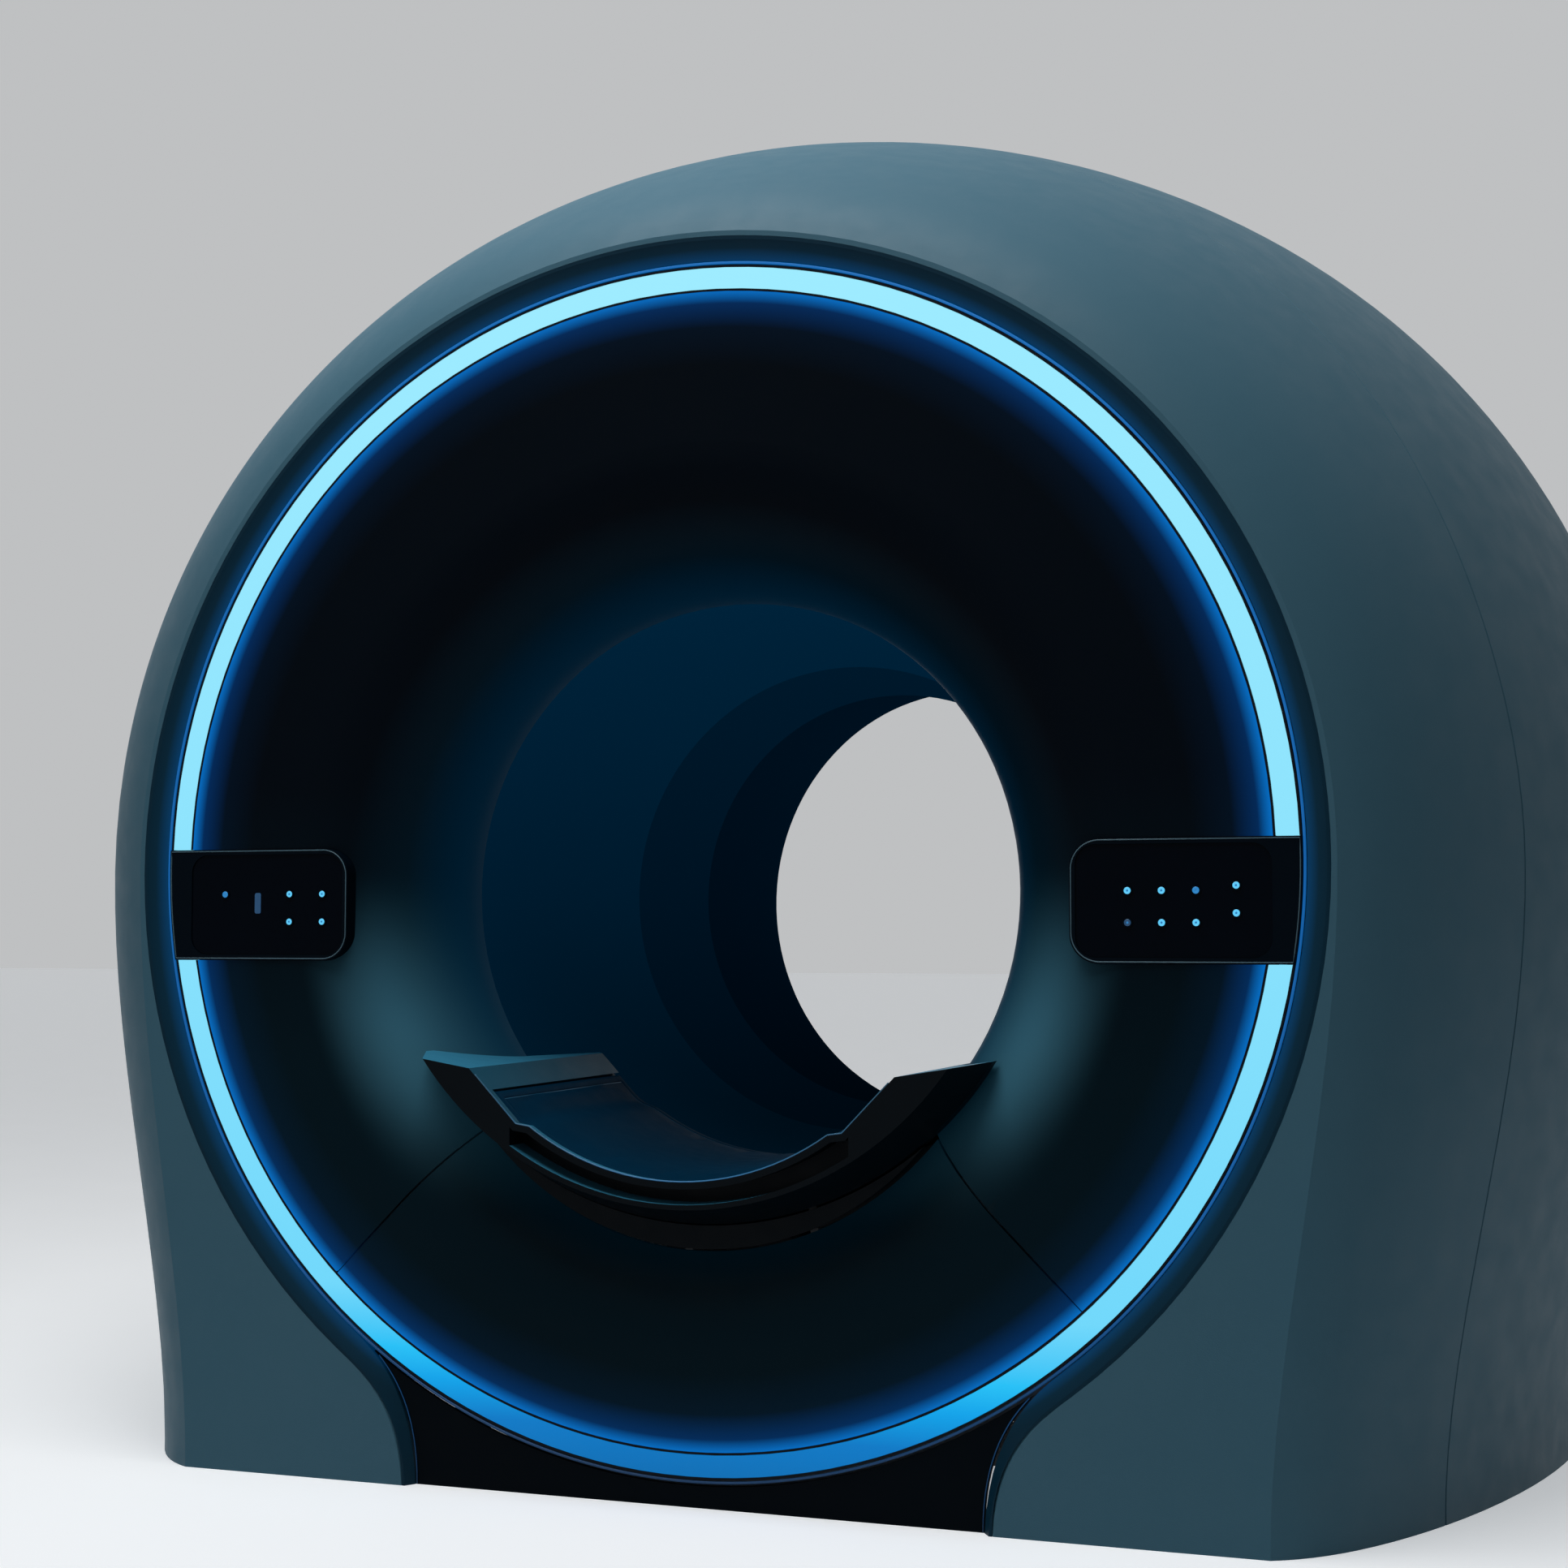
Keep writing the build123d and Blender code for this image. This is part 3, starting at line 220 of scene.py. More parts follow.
    def painted_shade_and_highlight(self, upper, lower, highlight_tone):
        """The face's painted light: a darker tone above, a lighter one below, and a painted highlight on the
        funnel's lower flanks.
        """
        height = self.axis("Z")
        down = self.span(height, BORE_Z + FACE_SHADE_RISE, BORE_Z - FACE_SHADE_DROP, 0.0, 1.0)
        body = self.mixed(down, self.patches(upper, 0.06, 2.0), self.patches(lower, 0.06, 2.0))
        painted_highlight = self.maths("MULTIPLY", self.bump_of(self.radius(BORE_Z), PAINTED_HIGHLIGHT_RADIUS, PAINTED_HIGHLIGHT_REACH),
                           self.bump_of(height, BORE_Z - PAINTED_HIGHLIGHT_DROP, PAINTED_HIGHLIGHT_HEIGHT))
        self.link(self.mixed(painted_highlight, body, self.patches(highlight_tone, 0.04, 3.0)), self.shader.inputs["Base Color"])
        return self

    def shaded_sides_lit_tops(self, side, top, vary, scale):
        """Painted light: a lit colour on the faces that look up and painted shade on the sides, both with
        soft patches.
        """
        facing = self.axis("Z", self.node("ShaderNodeTexCoord").outputs["Normal"])
        up = self.span(facing, *LIT_TOP_SPAN, 0.0, 1.0)
        body = self.mixed(up, self.patches(side, vary, scale), self.patches(top, vary, scale))
        self.link(body, self.shader.inputs["Base Color"])
        return self

    def radius(self, height):
        """Distance from the Y line at a height."""
        across = self.maths("POWER", self.axis("X"), 2.0)
        rise = self.maths("POWER", self.maths("SUBTRACT", self.axis("Z"), height), 2.0)
        return self.maths("SQRT", self.maths("ADD", across, rise))

    def glow(self, source, stops, strength):
        """Light given off, by a ramp."""
        self.link(self.ramp(source, stops), self.shader.inputs["Emission Color"])
        self.set("Emission Strength", strength)
        return self


BLACK = (0.0, 0.0, 0.0, 1.0)

shell = Paint("shell_satin", specular=0.22).colour(srgb(60, 101, 119), 0.03, 1.2)
shell.worn(0.48, 0.58, 22.0).grain(900.0, 0.0003)

trim = Paint("trim_teal", specular=0.08).colour(srgb(5, 38, 54), 0.06, 3.0)
trim.worn(0.36, 0.46, 30.0).grain(900.0, 0.0003)
# Painted glow: the ring's light on the trim next to the ring, given off by the trim's own material
trim.glow(trim.span(trim.radius(RING_Z), TRIM_R, TRIM_R + TRIM_PAINTED_GLOW_REACH, 0.0, 1.0),
          [(0.0, srgb(0, 46, 84)), (0.5, srgb(0, 16, 28)), (1.0, srgb(0, 5, 9))], 1.0)

# Painted shade and highlight in the face's colour: darker above, lighter below, with a paler patch on the
# funnel's lower flanks
face = Paint("face_navy", specular=0.03).painted_shade_and_highlight(srgb(2, 10, 19), srgb(5, 26, 35), srgb(62, 112, 132))
face.worn(0.36, 0.46, 26.0).grain(1100.0, 0.0002)
# Painted glow: the ring's light on the face near the ring and round the bore's mouth, given off by the face's
# own material
painted_halo = face.ramp(face.span(face.radius(RING_Z), *PAINTED_HALO_SPAN, 0.0, 1.0),
                 [(0.0, BLACK), (0.5, srgb(0, 8, 22)), (0.82, srgb(0, 38, 84)), (1.0, srgb(4, 110, 196))])
painted_mouth_glow = face.ramp(face.span(face.radius(BORE_Z), *PAINTED_MOUTH_GLOW_SPAN, 0.0, 1.0),
                  [(0.0, srgb(0, 25, 42)), (0.4, srgb(0, 11, 19)), (1.0, BLACK)])
both = face.node("ShaderNodeVectorMath", operation="ADD")
face.link(painted_halo, both.inputs[0])
face.link(painted_mouth_glow, both.inputs[1])
face.link(both.outputs[0], face.shader.inputs["Emission Color"])
face.set("Emission Strength", 1.0)

kick = Paint("kick_black", specular=0.03).colour(srgb(2, 8, 14), 0.08, 3.0)
kick.worn(0.40, 0.52, 30.0).grain(900.0, 0.0003)

channel = Paint("channel_black", specular=0.10).colour(srgb(2, 10, 20), 0.08, 8.0)
channel.worn(0.45, 0.6, 40.0).grain(700.0, 0.0002)

lamps = Paint("lamp_strip", rough=0.5).colour(srgb(190, 235, 250), 0.04, 60.0)
lamps.grain(300.0, 0.0004)

light = Paint("ring_diffuser", specular=0.12).colour(srgb(12, 44, 62), 0.05, 8.0)
light.worn(0.42, 0.52, 60.0).grain(1200.0, 0.0001)
light.glow(light.span(light.axis("Z"), RING_Z - RING_R, RING_Z + RING_R, 0.0, 1.0),
           [(0.0, srgb(2, 106, 176)), (0.035, srgb(3, 118, 194)), (0.065, srgb(6, 160, 230)),
            (0.09, srgb(36, 190, 243)), (0.14, srgb(112, 214, 248)), (0.5, srgb(140, 225, 250)),
            (1.0, srgb(157, 233, 252))], 1.0)

# Painted highlight: the bead's glow stands for the ring's light on these edges, darker towards the bottom
bead = Paint("edge_painted_highlight", rough=0.4, specular=0.3).colour(srgb(4, 50, 90), 0.05, 20.0)
bead.grain(900.0, 0.0001)
bead.glow(bead.span(bead.axis("Z"), 0.0, 2 * RING_Z, 0.0, 1.0),
          [(0.0, srgb(0, 18, 32)), (0.1, srgb(2, 44, 78)), (0.22, srgb(6, 84, 150)),
           (1.0, srgb(12, 104, 178))], 0.9)


def bore_paint(name, strength):
    """The bore's matte blue, which gives off a little of the ring's light as a painted glow, darker towards
    the bottom.
    """
    made = Paint(name, specular=0.0).colour(srgb(2, 33, 54), 0.02, 0.8)
    made.worn(0.40, 0.44, 10.0).grain(1000.0, 0.0001, strength=0.2)
    return made.glow(made.span(made.axis("Z"), BORE_Z - BORE_PAINTED_GLOW_REACH, BORE_Z + BORE_PAINTED_GLOW_REACH, 0.0, 1.0),
                     [(0.0, srgb(0, 9, 16)), (0.5, srgb(0, 25, 43)), (1.0, srgb(0, 32, 54))], strength)


# Painted shade: the same paint glowing less in the middle and at the rear of the bore
bore = bore_paint("bore_blue", 1.0)
bore_middle_painted_shade = bore_paint("bore_middle_painted_shade", 0.62)
bore_rear = bore_paint("bore_rear", 0.34)

# Painted shade on the cradle's sides and a painted lit tone on its tops, chosen by the direction each face
# looks
cradle = Paint("cradle_teal", specular=0.06).shaded_sides_lit_tops(srgb(3, 10, 16), srgb(56, 132, 164), 0.04, 3.0)
cradle.worn(0.32, 0.42, 26.0).grain(1000.0, 0.0002)

pad = Paint("pad_cover", specular=0.01).colour(srgb(4, 44, 68), 0.06, 7.0)
pad.worn(0.42, 0.54, 45.0).grain(420.0, 0.0005, strength=0.4)
pad.set("Sheen Weight", 0.03)
pad.set("Sheen Roughness", 0.5)
pad.set("Sheen Tint", srgb(70, 150, 190))

piping = Paint("pad_piping", specular=0.4).colour(srgb(36, 104, 138), 0.06, 30.0)
piping.worn(0.34, 0.44, 80.0).grain(900.0, 0.0002)

# Painted highlight: the bead glows for the cradle's lit front edge, brighter low in the hollow
lip_highlight = Paint("lip_painted_highlight", specular=0.5).colour(srgb(40, 92, 116), 0.05, 30.0)
lip_highlight.worn(0.26, 0.36, 80.0).grain(900.0, 0.0001)
lip_highlight.glow(lip_highlight.span(lip_highlight.axis("Z"), *(BORE_Z - drop for drop in LIP_PAINTED_GLOW_DROPS), 0.0, 1.0),
         [(0.0, srgb(8, 74, 122)), (0.4, srgb(4, 44, 76)), (1.0, srgb(2, 14, 22))], 0.9)

tray = Paint("panel_tray", specular=0.03).colour(srgb(2, 11, 20), 0.08, 6.0)
tray.worn(0.36, 0.48, 50.0).grain(1000.0, 0.0002)

glass = Paint("panel_glass", specular=0.03).colour(srgb(1, 7, 17), 0.08, 9.0)
glass.worn(0.12, 0.20, 40.0).grain(60.0, 0.00005, strength=0.2)

# Painted highlight: the lighter colour of the panels' rims
edge = Paint("panel_rim_highlight", specular=0.3).colour(srgb(74, 104, 118), 0.06, 30.0)
edge.worn(0.30, 0.40, 60.0).grain(900.0, 0.0001)

bridge = Paint("bridge_paint", specular=0.06).colour(srgb(2, 7, 12), 0.08, 5.0)
bridge.worn(0.40, 0.55, 40.0).grain(500.0, 0.0003)

steel = Paint("frame_steel", specular=0.5).colour(srgb(96, 102, 108), 0.06, 4.0)
steel.worn(0.42, 0.58, 30.0).grain(400.0, 0.0004)

vessel = Paint("vessel_paint", specular=0.5).colour(srgb(214, 218, 220), 0.03, 2.0)
vessel.worn(0.34, 0.46, 24.0).grain(450.0, 0.0004)

alloy = Paint("alloy", metallic=1.0).colour(srgb(190, 194, 198), 0.04, 12.0)
alloy.worn(0.26, 0.42, 50.0).grain(260.0, 0.0002, stretch=(1.0, 0.04, 1.0))

anodised = Paint("black_anodised", metallic=0.6).colour(srgb(24, 26, 29), 0.06, 12.0)
anodised.worn(0.36, 0.50, 50.0).grain(260.0, 0.0002, stretch=(1.0, 0.04, 1.0))

stainless = Paint("stainless", metallic=1.0).colour(srgb(176, 180, 184), 0.04, 8.0)
stainless.worn(0.22, 0.36, 40.0).grain(300.0, 0.0002, stretch=(1.0, 1.0, 0.05))

copper = Paint("winding", metallic=0.6).colour(srgb(176, 112, 66), 0.10, 20.0)
copper.worn(0.35, 0.5, 80.0).grain(160.0, 0.0008, stretch=(0.02, 1.0, 0.02))

resin = Paint("cast_resin").colour(srgb(48, 36, 31), 0.10, 6.0)
resin.worn(0.32, 0.5, 30.0).grain(300.0, 0.0004)

fibre = Paint("glass_fibre").colour(srgb(176, 186, 140), 0.08, 14.0)
fibre.worn(0.35, 0.5, 60.0).grain(500.0, 0.0004, stretch=(1.0, 0.15, 1.0))

rubber = Paint("rubber", specular=0.35).colour(srgb(30, 31, 33), 0.12, 40.0)
rubber.worn(0.65, 0.8, 60.0).grain(600.0, 0.0003)

pale = Paint("moulded_support").colour(srgb(198, 198, 192), 0.04, 10.0)
pale.worn(0.5, 0.62, 40.0).grain(700.0, 0.0003)


def lit(name, colour, strength):
    """A lit lens."""
    made = Paint(name, rough=0.3).colour(srgb(20, 60, 80), 0.05, 200.0)
    made.grain(900.0, 0.00005)
    made.glow(made.noise(500.0), [(0.3, tint(colour, -0.1)), (0.7, tint(colour, 0.1))], strength)
    return made


LENSES = {
    "bright": lit("lens_bright", srgb(88, 198, 243), 1.0),
    "medium": lit("lens_medium", srgb(20, 120, 186), 1.0),
    "dim": lit("lens_dim", srgb(4, 46, 84), 1.0),
}
lens_core = lit("lens_core", srgb(24, 110, 170), 1.0)


def wear(paint, *names):
    """Gives CAD nodes a material."""
    for name in names:
        mesh = nodes[name].data
        mesh.materials.clear()
        mesh.materials.append(paint.made)


wear(shell, "front_shroud", "rear_shroud", "rear_cover")
wear(trim, "trim_ring")
wear(kick, "kick_panel")
wear(channel, "light_channel")
wear(lamps, "led_strip")
wear(light, "light_diffuser_upper", "light_diffuser_lower")
wear(face, "face_cover_upper", "face_cover_lower")
wear(bore, "bore_funnel")
wear(bore_middle_painted_shade, "bore_liner")
wear(bore_rear, "rear_flare")
wear(cradle, "cradle")
wear(pad, "cradle_pad")
wear(bridge, "bridge", "drive_motor")
wear(steel, "bridge_bracket", "cover_frame", "magnet_feet", "cold_head")
wear(anodised, "slide_mid_frame", "slide_outer_left", "slide_outer_right", "slide_inner_left",
     "slide_inner_right")
wear(alloy, "drive_pulley", "idler_pulley", "radiation_shield", "coil_former")
wear(rubber, "drive_belt", "gradient_mounts")
wear(vessel, "vacuum_vessel")
wear(stainless, "helium_vessel")
wear(fibre, "suspension_rods", "rf_coil")
wear(copper, "main_coils", "shield_coils")
wear(resin, "gradient_coil")
wear(pale, "liner_supports")
wear(tray, "panel_housing_left", "panel_housing_right")
wear(glass, "panel_glass_left", "panel_glass_right")
wear(LENSES["dim"], "status_light")
buttons = sorted(name for name in nodes if name.startswith("button_"))
wear(tray, *buttons)


# Pieces

def piece(name, mesh, paint, body):
    """Puts a mesh in the scene on a body."""
    made = bpy.data.objects.new(name, mesh)
    bpy.context.scene.collection.objects.link(made)
    made.data.materials.append(paint.made)
    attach(made, body)
    return made


def smooth(mesh):
    """Shades every face of a mesh smooth."""
    for face_ in mesh.polygons:
        face_.use_smooth = True


def tube(name, path, radius, sides=10, closed=False, across=(0, 1, 0)):
    """A round bead along points, none of whose steps runs along the direction across."""
    shape = bmesh.new()
    rings = []
    count = len(path)
    for number, point in enumerate(path):
        before = path[number - 1] if number or closed else point
        after = path[(number + 1) % count] if number + 1 < count or closed else point
        ahead = (after - before).normalized()
        out = ahead.cross(Vector(across)).normalized()
        rise = out.cross(ahead)
        ring = []
        for side in range(sides):
            angle = 2 * math.pi * side / sides
            ring.append(shape.verts.new(point + (out * math.cos(angle) + rise * math.sin(angle)) * radius))
        rings.append(ring)
    pairs = list(zip(rings, rings[1:])) + ([(rings[-1], rings[0])] if closed else [])
    for first, second in pairs:
        for side in range(sides):
            after = (side + 1) % sides
            shape.faces.new((first[side], first[after], second[after], second[side]))
    if not closed:
        shape.faces.new(rings[0][::-1])
        shape.faces.new(rings[-1])
    bmesh.ops.recalc_face_normals(shape, faces=shape.faces)
    mesh = bpy.data.meshes.new(name)
    shape.to_mesh(mesh)
    shape.free()
    smooth(mesh)
    return mesh


# Painted highlight: a glowing bead for the lit line between the ring and the trim, and down both sides of the
# kick panel

def trim_edge(inset):
    """The trim's inner edge below the ring, from the floor to where it meets the circle."""
    floor = [v.co for v in nodes["kick_panel"].data.vertices if v.co.z < BEAD_R]
    half = max(point.x for point in floor) - inset
    outline = {}
    for vertex in nodes["kick_panel"].data.vertices:
        point = vertex.co
        if point.x > 0 and abs(math.hypot(point.x, point.z - RING_Z) - TRIM_R) > KICK_TOP_ROOM:
            outline[round(point.z, 4)] = max(point.x - inset, outline.get(round(point.z, 4), half))
    return [(width, height) for height, width in sorted(outline.items())]


BEAD_R = 0.0019
LEG_R = 0.0008
KICK_TOP_ROOM = 0.004
bead_radius = (CHANNEL_R + TRIM_R) / 2
RING_STEPS = 240
ring_turns = [2 * math.pi * number / RING_STEPS for number in range(RING_STEPS)]
circle = [Vector((bead_radius * math.sin(turn), FRONT_Y, RING_Z + bead_radius * math.cos(turn)))
          for turn in ring_turns]
piece("ring_edge_highlight", tube("ring_edge_highlight", circle, BEAD_R, closed=True), bead, "base")
kick_front = box("kick_panel")[0].y
for side, sign in (("left", -1), ("right", 1)):
    leg = [Vector((sign * width, kick_front - LEG_R, height + LEG_R))
           for width, height in trim_edge(2 * LEG_R)]
    piece(f"kick_edge_highlight_{side}", tube(f"kick_edge_highlight_{side}", leg, LEG_R), bead, "base")


# Buttons' lenses: a lit rim round a darker middle

def turned(name, outline, steps=28):
    """A form turned about the Y direction from (radius, place along Y) points, closed at its middle."""
    shape = bmesh.new()
    rings = [[shape.verts.new((radius * math.cos(2 * math.pi * step / steps), place,
                               radius * math.sin(2 * math.pi * step / steps))) for step in range(steps)]
             for radius, place in outline]
    for first, second in zip(rings, rings[1:]):
        for step in range(steps):
            after = (step + 1) % steps
            shape.faces.new((first[step], first[after], second[after], second[step]))
    shape.faces.new(rings[0])
    shape.faces.new(rings[-1])
    bmesh.ops.recalc_face_normals(shape, faces=shape.faces)
    mesh = bpy.data.meshes.new(name)
    shape.to_mesh(mesh)
    shape.free()
    smooth(mesh)
    return mesh


LENS_R = 0.0045
CORE_R = 0.0018
LENS_RISE = 0.0007
LEVELS = {"button_left_1": "medium", "button_right_2": "dim", "button_right_5": "medium"}
lens_outline = [(LENS_R, 0.0), (LENS_R * 0.97, -LENS_RISE * 0.6), (LENS_R * 0.8, -LENS_RISE),
                (CORE_R * 1.2, -LENS_RISE), (CORE_R, -LENS_RISE * 0.5)]
core_outline = [(CORE_R * 0.98, 0.0), (CORE_R * 0.98, -LENS_RISE * 0.4), (CORE_R * 0.5, -LENS_RISE * 0.7)]
for name in buttons:
    low, high = box(name)
    place = ((low.x + high.x) / 2, low.y, (low.z + high.z) / 2)
    for part, outline, paint in (("lens", lens_outline, LENSES[LEVELS.get(name, "bright")]),
                                 ("core", core_outline, lens_core)):
        label = f"{name}_{part}"
        mesh = turned(label, outline)
        for vertex in mesh.vertices:
            vertex.co += Vector(place)
        piece(label, mesh, paint, name)


# Painted highlight: a thin lighter rim round each control panel, where the tray's edge catches the light

RIM_R = 0.0008
RIM_INSET = 0.0022


def hull_half(points):
    """One side of the convex outline round flat points that are given in order."""
    line = []
    for x, z in points:
        while len(line) > 1:
            (first_x, first_z), (last_x, last_z) = line[-2:]
            if (last_x - first_x) * (z - first_z) - (last_z - first_z) * (x - first_x) > 0:
                break
            line.pop()
        line.append((x, z))
    return line[:-1]


def panel_outline(name):
    """The front edge of a panel's tray, drawn in a little, as points in order."""
    low, high = box(name)
    points = sorted({(round(v.co.x, 4), round(v.co.z, 4)) for v in nodes[name].data.vertices
                     if abs(v.co.y - low.y) < RIM_R})
    outer = hull_half(points) + hull_half(points[::-1])
    middle_x, middle_z = (low.x + high.x) / 2, (low.z + high.z) / 2
    share_x = 1 - 2 * RIM_INSET / (high.x - low.x)
    share_z = 1 - 2 * RIM_INSET / (high.z - low.z)
    return [Vector((middle_x + (x - middle_x) * share_x, low.y, middle_z + (z - middle_z) * share_z))
            for x, z in outer]


for side in ("left", "right"):
    name = f"panel_housing_{side}"
    rim = tube(f"panel_rim_{side}", panel_outline(name), RIM_R, 8, True)
    piece(f"panel_rim_{side}", rim, edge, "base")


# Pad: a crowned cushion in the cradle's recess, swelled by a cloth simulation

PAD_EDGE = 0.005
PAD_SEAM = 0.016
SEAM_HALF = 0.0016
SEAM_DEPTH = 0.0016
PAD_STEP = 0.011
SWELL_CAP = 0.005
PIPING_R = 0.0009
PAD_TOP_ROOM = 0.0005
SMOOTH_PASSES = 400
SWELL_PRESSURE = 4.0
SWELL_FRAMES = 20
HOLLOW_ANGLE = 60
STEPS_PER_DEGREE = 10
TINY = 1e-9
EDGE_STEPS = (0.0, 0.0008, 0.0022, 0.0042, 0.0066, 0.0095, 0.0130,
              0.0144, 0.0152, 0.0160, 0.0168, 0.0176, 0.0190)


def grid_line(length):
    """Places along one side of the pad, closer together near its edges and its seam."""
    start = EDGE_STEPS[-1]
    count = round((length - 2 * start) / PAD_STEP)
    inner = [start + (length - 2 * start) * step / count for step in range(1, count)]
    return list(EDGE_STEPS) + inner + [length - step for step in reversed(EDGE_STEPS)]


def solid_tree(name):
    """A CAD node's faces, for rays to hit."""
    solid = nodes[name].data
    return BVHTree.FromPolygons([v.co for v in solid.vertices], [list(p.vertices) for p in solid.polygons])


def hollow(name, place, top):
    """Angle and distance from the bore's axis of a node's upper side, across it at a place along Y."""
    tree = solid_tree(name)
    centre = Vector((0.0, place, BORE_Z))
    turns = []
    reach = HOLLOW_ANGLE * STEPS_PER_DEGREE
    for step in range(-reach, reach + 1):
        angle = math.radians(step / STEPS_PER_DEGREE)
        hit = tree.ray_cast(centre, Vector((math.sin(angle), 0.0, -math.cos(angle))))[0]
        if hit and hit.z < top:
            turns.append((angle, (hit - centre).length))
    return turns


def pad_depth():
    """The thickness of the pad's solid at its middle."""
    tree = solid_tree("cradle_pad")
    low, high = box("cradle_pad")
    middle = (low.y + high.y) / 2
    top = tree.ray_cast(Vector((0.0, middle, BORE_Z)), Vector((0, 0, -1)))[0]
    base = tree.ray_cast(Vector((0.0, middle, 0.0)), Vector((0, 0, 1)))[0]
    return top.z - base.z


def pad_section():
    """The pad's top across the cradle, as a function of the distance along it."""
    low, high = box("cradle_pad")
    turns = hollow("cradle_pad", (low.y + high.y) / 2, high.z - PAD_TOP_ROOM)
    radii = [radius for _, radius in turns]
    for _ in range(SMOOTH_PASSES):
        inner = [(a + 2 * b + c) / 4 for a, b, c in zip(radii, radii[1:], radii[2:])]
        radii = [radii[0]] + inner + [radii[-1]]
    spots = [Vector((radius * math.sin(angle), 0.0, BORE_Z - radius * math.cos(angle)))
             for (angle, _), radius in zip(turns, radii)]
    runs = [0.0]
    for first, second in zip(spots, spots[1:]):
        runs.append(runs[-1] + (second - first).length)
    return spots, runs


def along(spots, runs, distance):
    """The point at a distance along the section and the direction into the bore there."""
    number = max(n for n in range(len(runs) - 1) if runs[n] <= distance + TINY)
    share = (distance - runs[number]) / (runs[number + 1] - runs[number])
    point = spots[number].lerp(spots[number + 1], min(share, 1.0))
    step = (spots[number + 1] - spots[number]).normalized()
    return point, Vector((-step.z, 0.0, step.x))


def cushion():
    """The pad's closed mesh, its pinned points, and the path of its seam."""
    spots, runs = pad_section()
    low, high = box("cradle_pad")
    across = grid_line(runs[-1])
    depth = grid_line(high.y - low.y)
    shape = bmesh.new()
    pinned = set()
    tops, bases = {}, {}
    for row, run in enumerate(across):
        point, up = along(spots, runs, run)
        for column, place in enumerate(depth):
            rim = min(run, runs[-1] - run, place, high.y - low.y - place)
            rise = PAD_DEPTH * math.sqrt(1 - (1 - min(rim / PAD_EDGE, 1.0)) ** 2)
            seam = abs(rim - PAD_SEAM)
            if seam < SEAM_HALF:
                rise -= SEAM_DEPTH * (1 + math.cos(math.pi * seam / SEAM_HALF)) / 2
            base = Vector((point.x, low.y + place, point.z)) - up * PAD_DEPTH
            tops[row, column] = shape.verts.new(base + up * rise)
            if rim < TINY:
                bases[row, column] = tops[row, column]
            else:
                bases[row, column] = shape.verts.new(base)
            pinned.add(bases[row, column])
            if rim < PAD_EDGE / 2 or seam < SEAM_HALF:
                pinned.add(tops[row, column])
    for row in range(len(across) - 1):
        for column in range(len(depth) - 1):
            corners = [(row, column), (row + 1, column), (row + 1, column + 1), (row, column + 1)]
            shape.faces.new([tops[corner] for corner in corners])
            shape.faces.new([bases[corner] for corner in reversed(corners)])
    bmesh.ops.recalc_face_normals(shape, faces=shape.faces)
    shape.verts.index_update()
    held = [vertex.index for vertex in pinned]
    first, last = EDGE_STEPS.index(PAD_SEAM), -1 - EDGE_STEPS.index(PAD_SEAM)
    rows = range(first, len(across) + last + 1)
    columns = range(first, len(depth) + last + 1)
    loop = [(row, first) for row in rows] + [(rows[-1], column) for column in columns[1:]]
    loop += [(row, columns[-1]) for row in reversed(rows[:-1])]
    loop += [(first, column) for column in reversed(columns[1:-1])]
    path = [tops[spot].co.copy() for spot in loop]
    mesh = bpy.data.meshes.new("cradle_cushion")
    shape.to_mesh(mesh)
    shape.free()
    smooth(mesh)
    return mesh, held, path


def swell(made, held):
    """Blows the cushion up a little between its seams and keeps the result as its mesh."""
    group = made.vertex_groups.new(name="held")
    group.add(held, 1.0, "REPLACE")
    before = [vertex.co.copy() for vertex in made.data.vertices]
    cloth = made.modifiers.new("swell", "CLOTH")
    cloth.settings.vertex_group_mass = "held"
    cloth.settings.use_pressure = True
    cloth.settings.uniform_pressure_force = SWELL_PRESSURE
    cloth.settings.effector_weights.gravity = 0.0
    for number in range(1, SWELL_FRAMES + 1):
        bpy.context.scene.frame_set(number)
    swollen = made.evaluated_get(bpy.context.evaluated_depsgraph_get())
    after = [vertex.co.copy() for vertex in swollen.data.vertices]
    made.modifiers.remove(cloth)
    bpy.context.scene.frame_set(1)
    for vertex, old, new in zip(made.data.vertices, before, after):
        move = new - old
        vertex.co = old + move * min(1.0, SWELL_CAP / max(move.length, TINY))


PAD_DEPTH = pad_depth()
cushion_mesh, cushion_held, seam_path = cushion()
pad_piece = bpy.data.objects.new("cradle_cushion", cushion_mesh)
bpy.context.scene.collection.objects.link(pad_piece)
pad_piece.data.materials.append(pad.made)
swell(pad_piece, cushion_held)
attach(pad_piece, "cradle")
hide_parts("cradle_pad")
cord = tube("cushion_piping", seam_path, PIPING_R, 8, True, (0, 0, 1))
piece("cushion_piping", cord, piping, "cradle")


# Painted highlight: a glowing bead along the front of the cradle's hollow, where its edge catches the ring's
# light

LIP_R = 0.0012
LIP_ANGLE = 50.0
LIP_STEP = 4
cradle_low, cradle_high = box("cradle")
lip_turns = hollow("cradle", cradle_low.y + 2 * LIP_R, cradle_high.z - 2 * LIP_R)
lip_path = [Vector(((radius - LIP_R / 2) * math.sin(angle), cradle_low.y + LIP_R,
                    BORE_Z - (radius - LIP_R / 2) * math.cos(angle)))
            for angle, radius in lip_turns[::LIP_STEP] if abs(math.degrees(angle)) < LIP_ANGLE]
piece("cradle_edge_highlight", tube("cradle_edge_highlight", lip_path, LIP_R, 8), lip_highlight, "cradle")


# Camera at the photograph's place

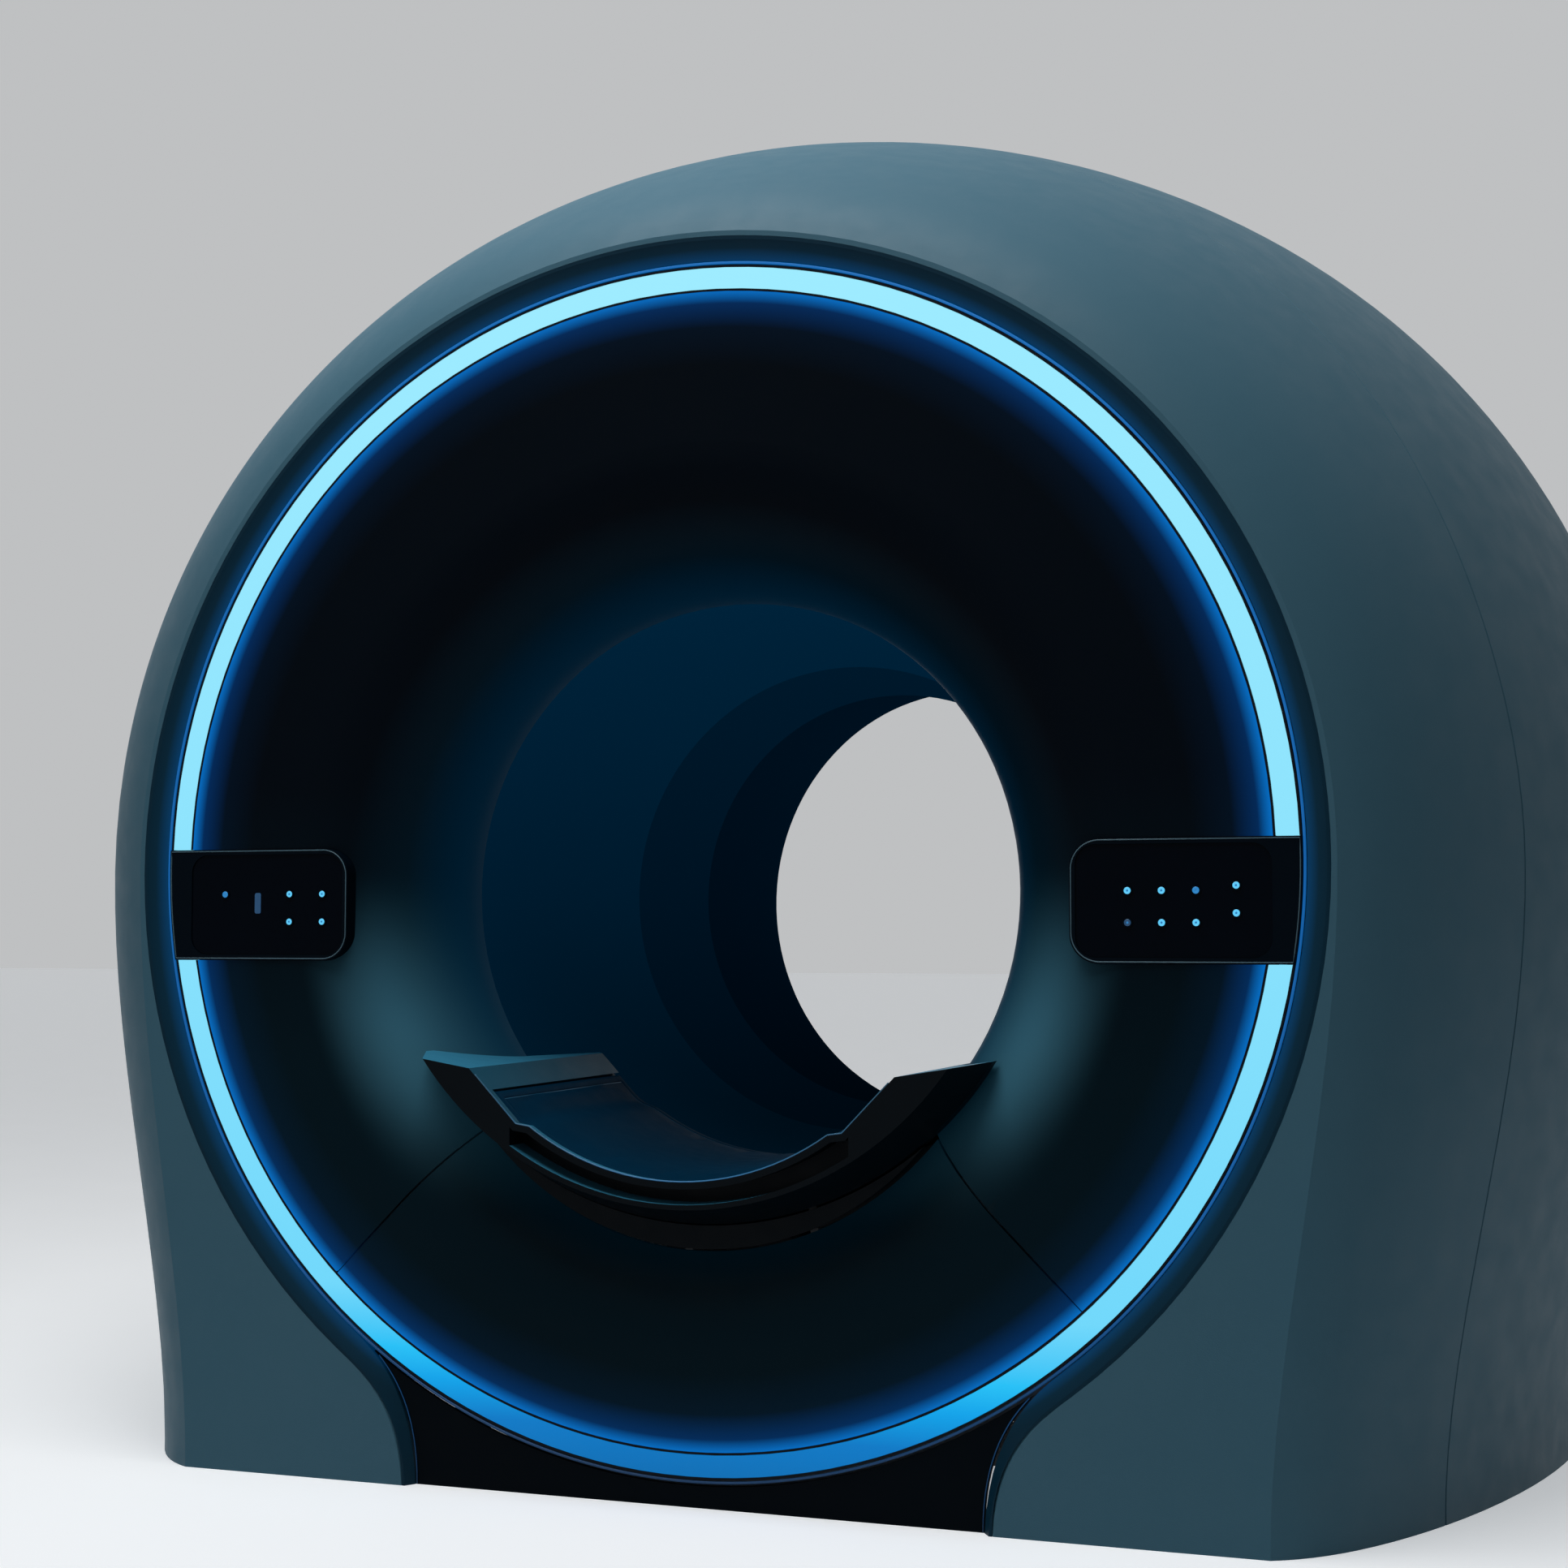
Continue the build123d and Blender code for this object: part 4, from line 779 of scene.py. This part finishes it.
CAMERA_PLACE = (1.2548, -3.9657, 0.7724)
CAMERA_YAW = 19.9
CAMERA_PITCH = 3.49
SENSOR_MM = 36.0
LENS_MM = 55.9
yaw, pitch = math.radians(CAMERA_YAW), math.radians(CAMERA_PITCH)
lens = bpy.data.cameras.new("camera")
lens.sensor_width = SENSOR_MM
lens.lens = LENS_MM
camera = bpy.data.objects.new("camera", lens)
camera.location = CAMERA_PLACE
ahead = Vector((-math.sin(yaw) * math.cos(pitch), math.cos(yaw) * math.cos(pitch), math.sin(pitch)))
camera.rotation_mode = "QUATERNION"
camera.rotation_quaternion = ahead.to_track_quat("-Z", "Y")
bpy.context.scene.collection.objects.link(camera)
bpy.context.scene.camera = camera


# Stage: a wide pale floor

FLOOR_HALF = 40.0
BACKDROP = 0.5
shape = bmesh.new()
corners = [shape.verts.new((x, y, 0.0)) for x, y in ((-1, -1), (1, -1), (1, 1), (-1, 1))]
shape.faces.new(corners)
bmesh.ops.scale(shape, vec=(FLOOR_HALF, FLOOR_HALF, 1.0), verts=shape.verts)
floor_mesh = bpy.data.meshes.new("stage_floor")
shape.to_mesh(floor_mesh)
shape.free()
floor = bpy.data.objects.new("stage_floor", floor_mesh)
bpy.context.scene.collection.objects.link(floor)
ground = Paint("floor_pale", specular=0.2).colour(srgb(222, 224, 226), 0.008, 0.6)
ground.worn(0.65, 0.75, 4.0)
seen = ground.node("ShaderNodeLightPath").outputs
shown = ground.maths("ADD", seen["Is Camera Ray"], seen["Is Glossy Ray"])
shown = ground.maths("MINIMUM", ground.maths("ADD", shown, seen["Is Transmission Ray"]), 1.0)
ground.link(ground.maths("MULTIPLY", shown, BACKDROP), ground.shader.inputs["Emission Strength"])
ground.set("Emission Color", srgb(240, 243, 246))
floor.data.materials.append(ground.made)
floor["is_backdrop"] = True


# Light: a large soft box overhead, a weak one in front, and an even surround
# The surround shows paler to the camera and in reflections than it lights

def softbox(name, place, target, size, power):
    """An oblong area lamp that looks at a point."""
    made = bpy.data.lights.new(name, "AREA")
    made.shape = "RECTANGLE"
    made.size, made.size_y = size
    made.energy = power
    lamp = bpy.data.objects.new(name, made)
    lamp.location = place
    lamp.rotation_mode = "QUATERNION"
    lamp.rotation_quaternion = (Vector(target) - Vector(place)).to_track_quat("-Z", "Y")
    bpy.context.scene.collection.objects.link(lamp)


softbox("softbox_top", place=(-0.3, -1.7, 4.4), target=(0.0, -0.2, 1.0), size=(2.8, 2.2), power=110.0)
softbox("softbox_front", place=(-1.6, -5.2, 2.6), target=(0.0, 0.0, 0.8), size=(2.6, 2.2), power=12.0)

SURROUND_COLOUR = (0.87, 0.885, 0.90, 1.0)
SURROUND = 0.09
HORIZON = 0.60
world = bpy.data.worlds.new("surround")
bpy.context.scene.world = world
world.use_nodes = True
tree = world.node_tree
surround = tree.nodes["Background"]
surround.inputs["Color"].default_value = SURROUND_COLOUR
path = tree.nodes.new("ShaderNodeLightPath").outputs
seen_by = path["Is Camera Ray"]
for other in ("Is Glossy Ray", "Is Transmission Ray"):
    either = tree.nodes.new("ShaderNodeMath")
    either.operation = "MAXIMUM"
    tree.links.new(seen_by, either.inputs[0])
    tree.links.new(path[other], either.inputs[1])
    seen_by = either.outputs[0]
level = tree.nodes.new("ShaderNodeMapRange")
tree.links.new(seen_by, level.inputs["Value"])
level.inputs["To Min"].default_value = SURROUND
level.inputs["To Max"].default_value = HORIZON
tree.links.new(level.outputs["Result"], surround.inputs["Strength"])

view = bpy.context.scene.view_settings
view.view_transform = "Standard"

low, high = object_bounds()
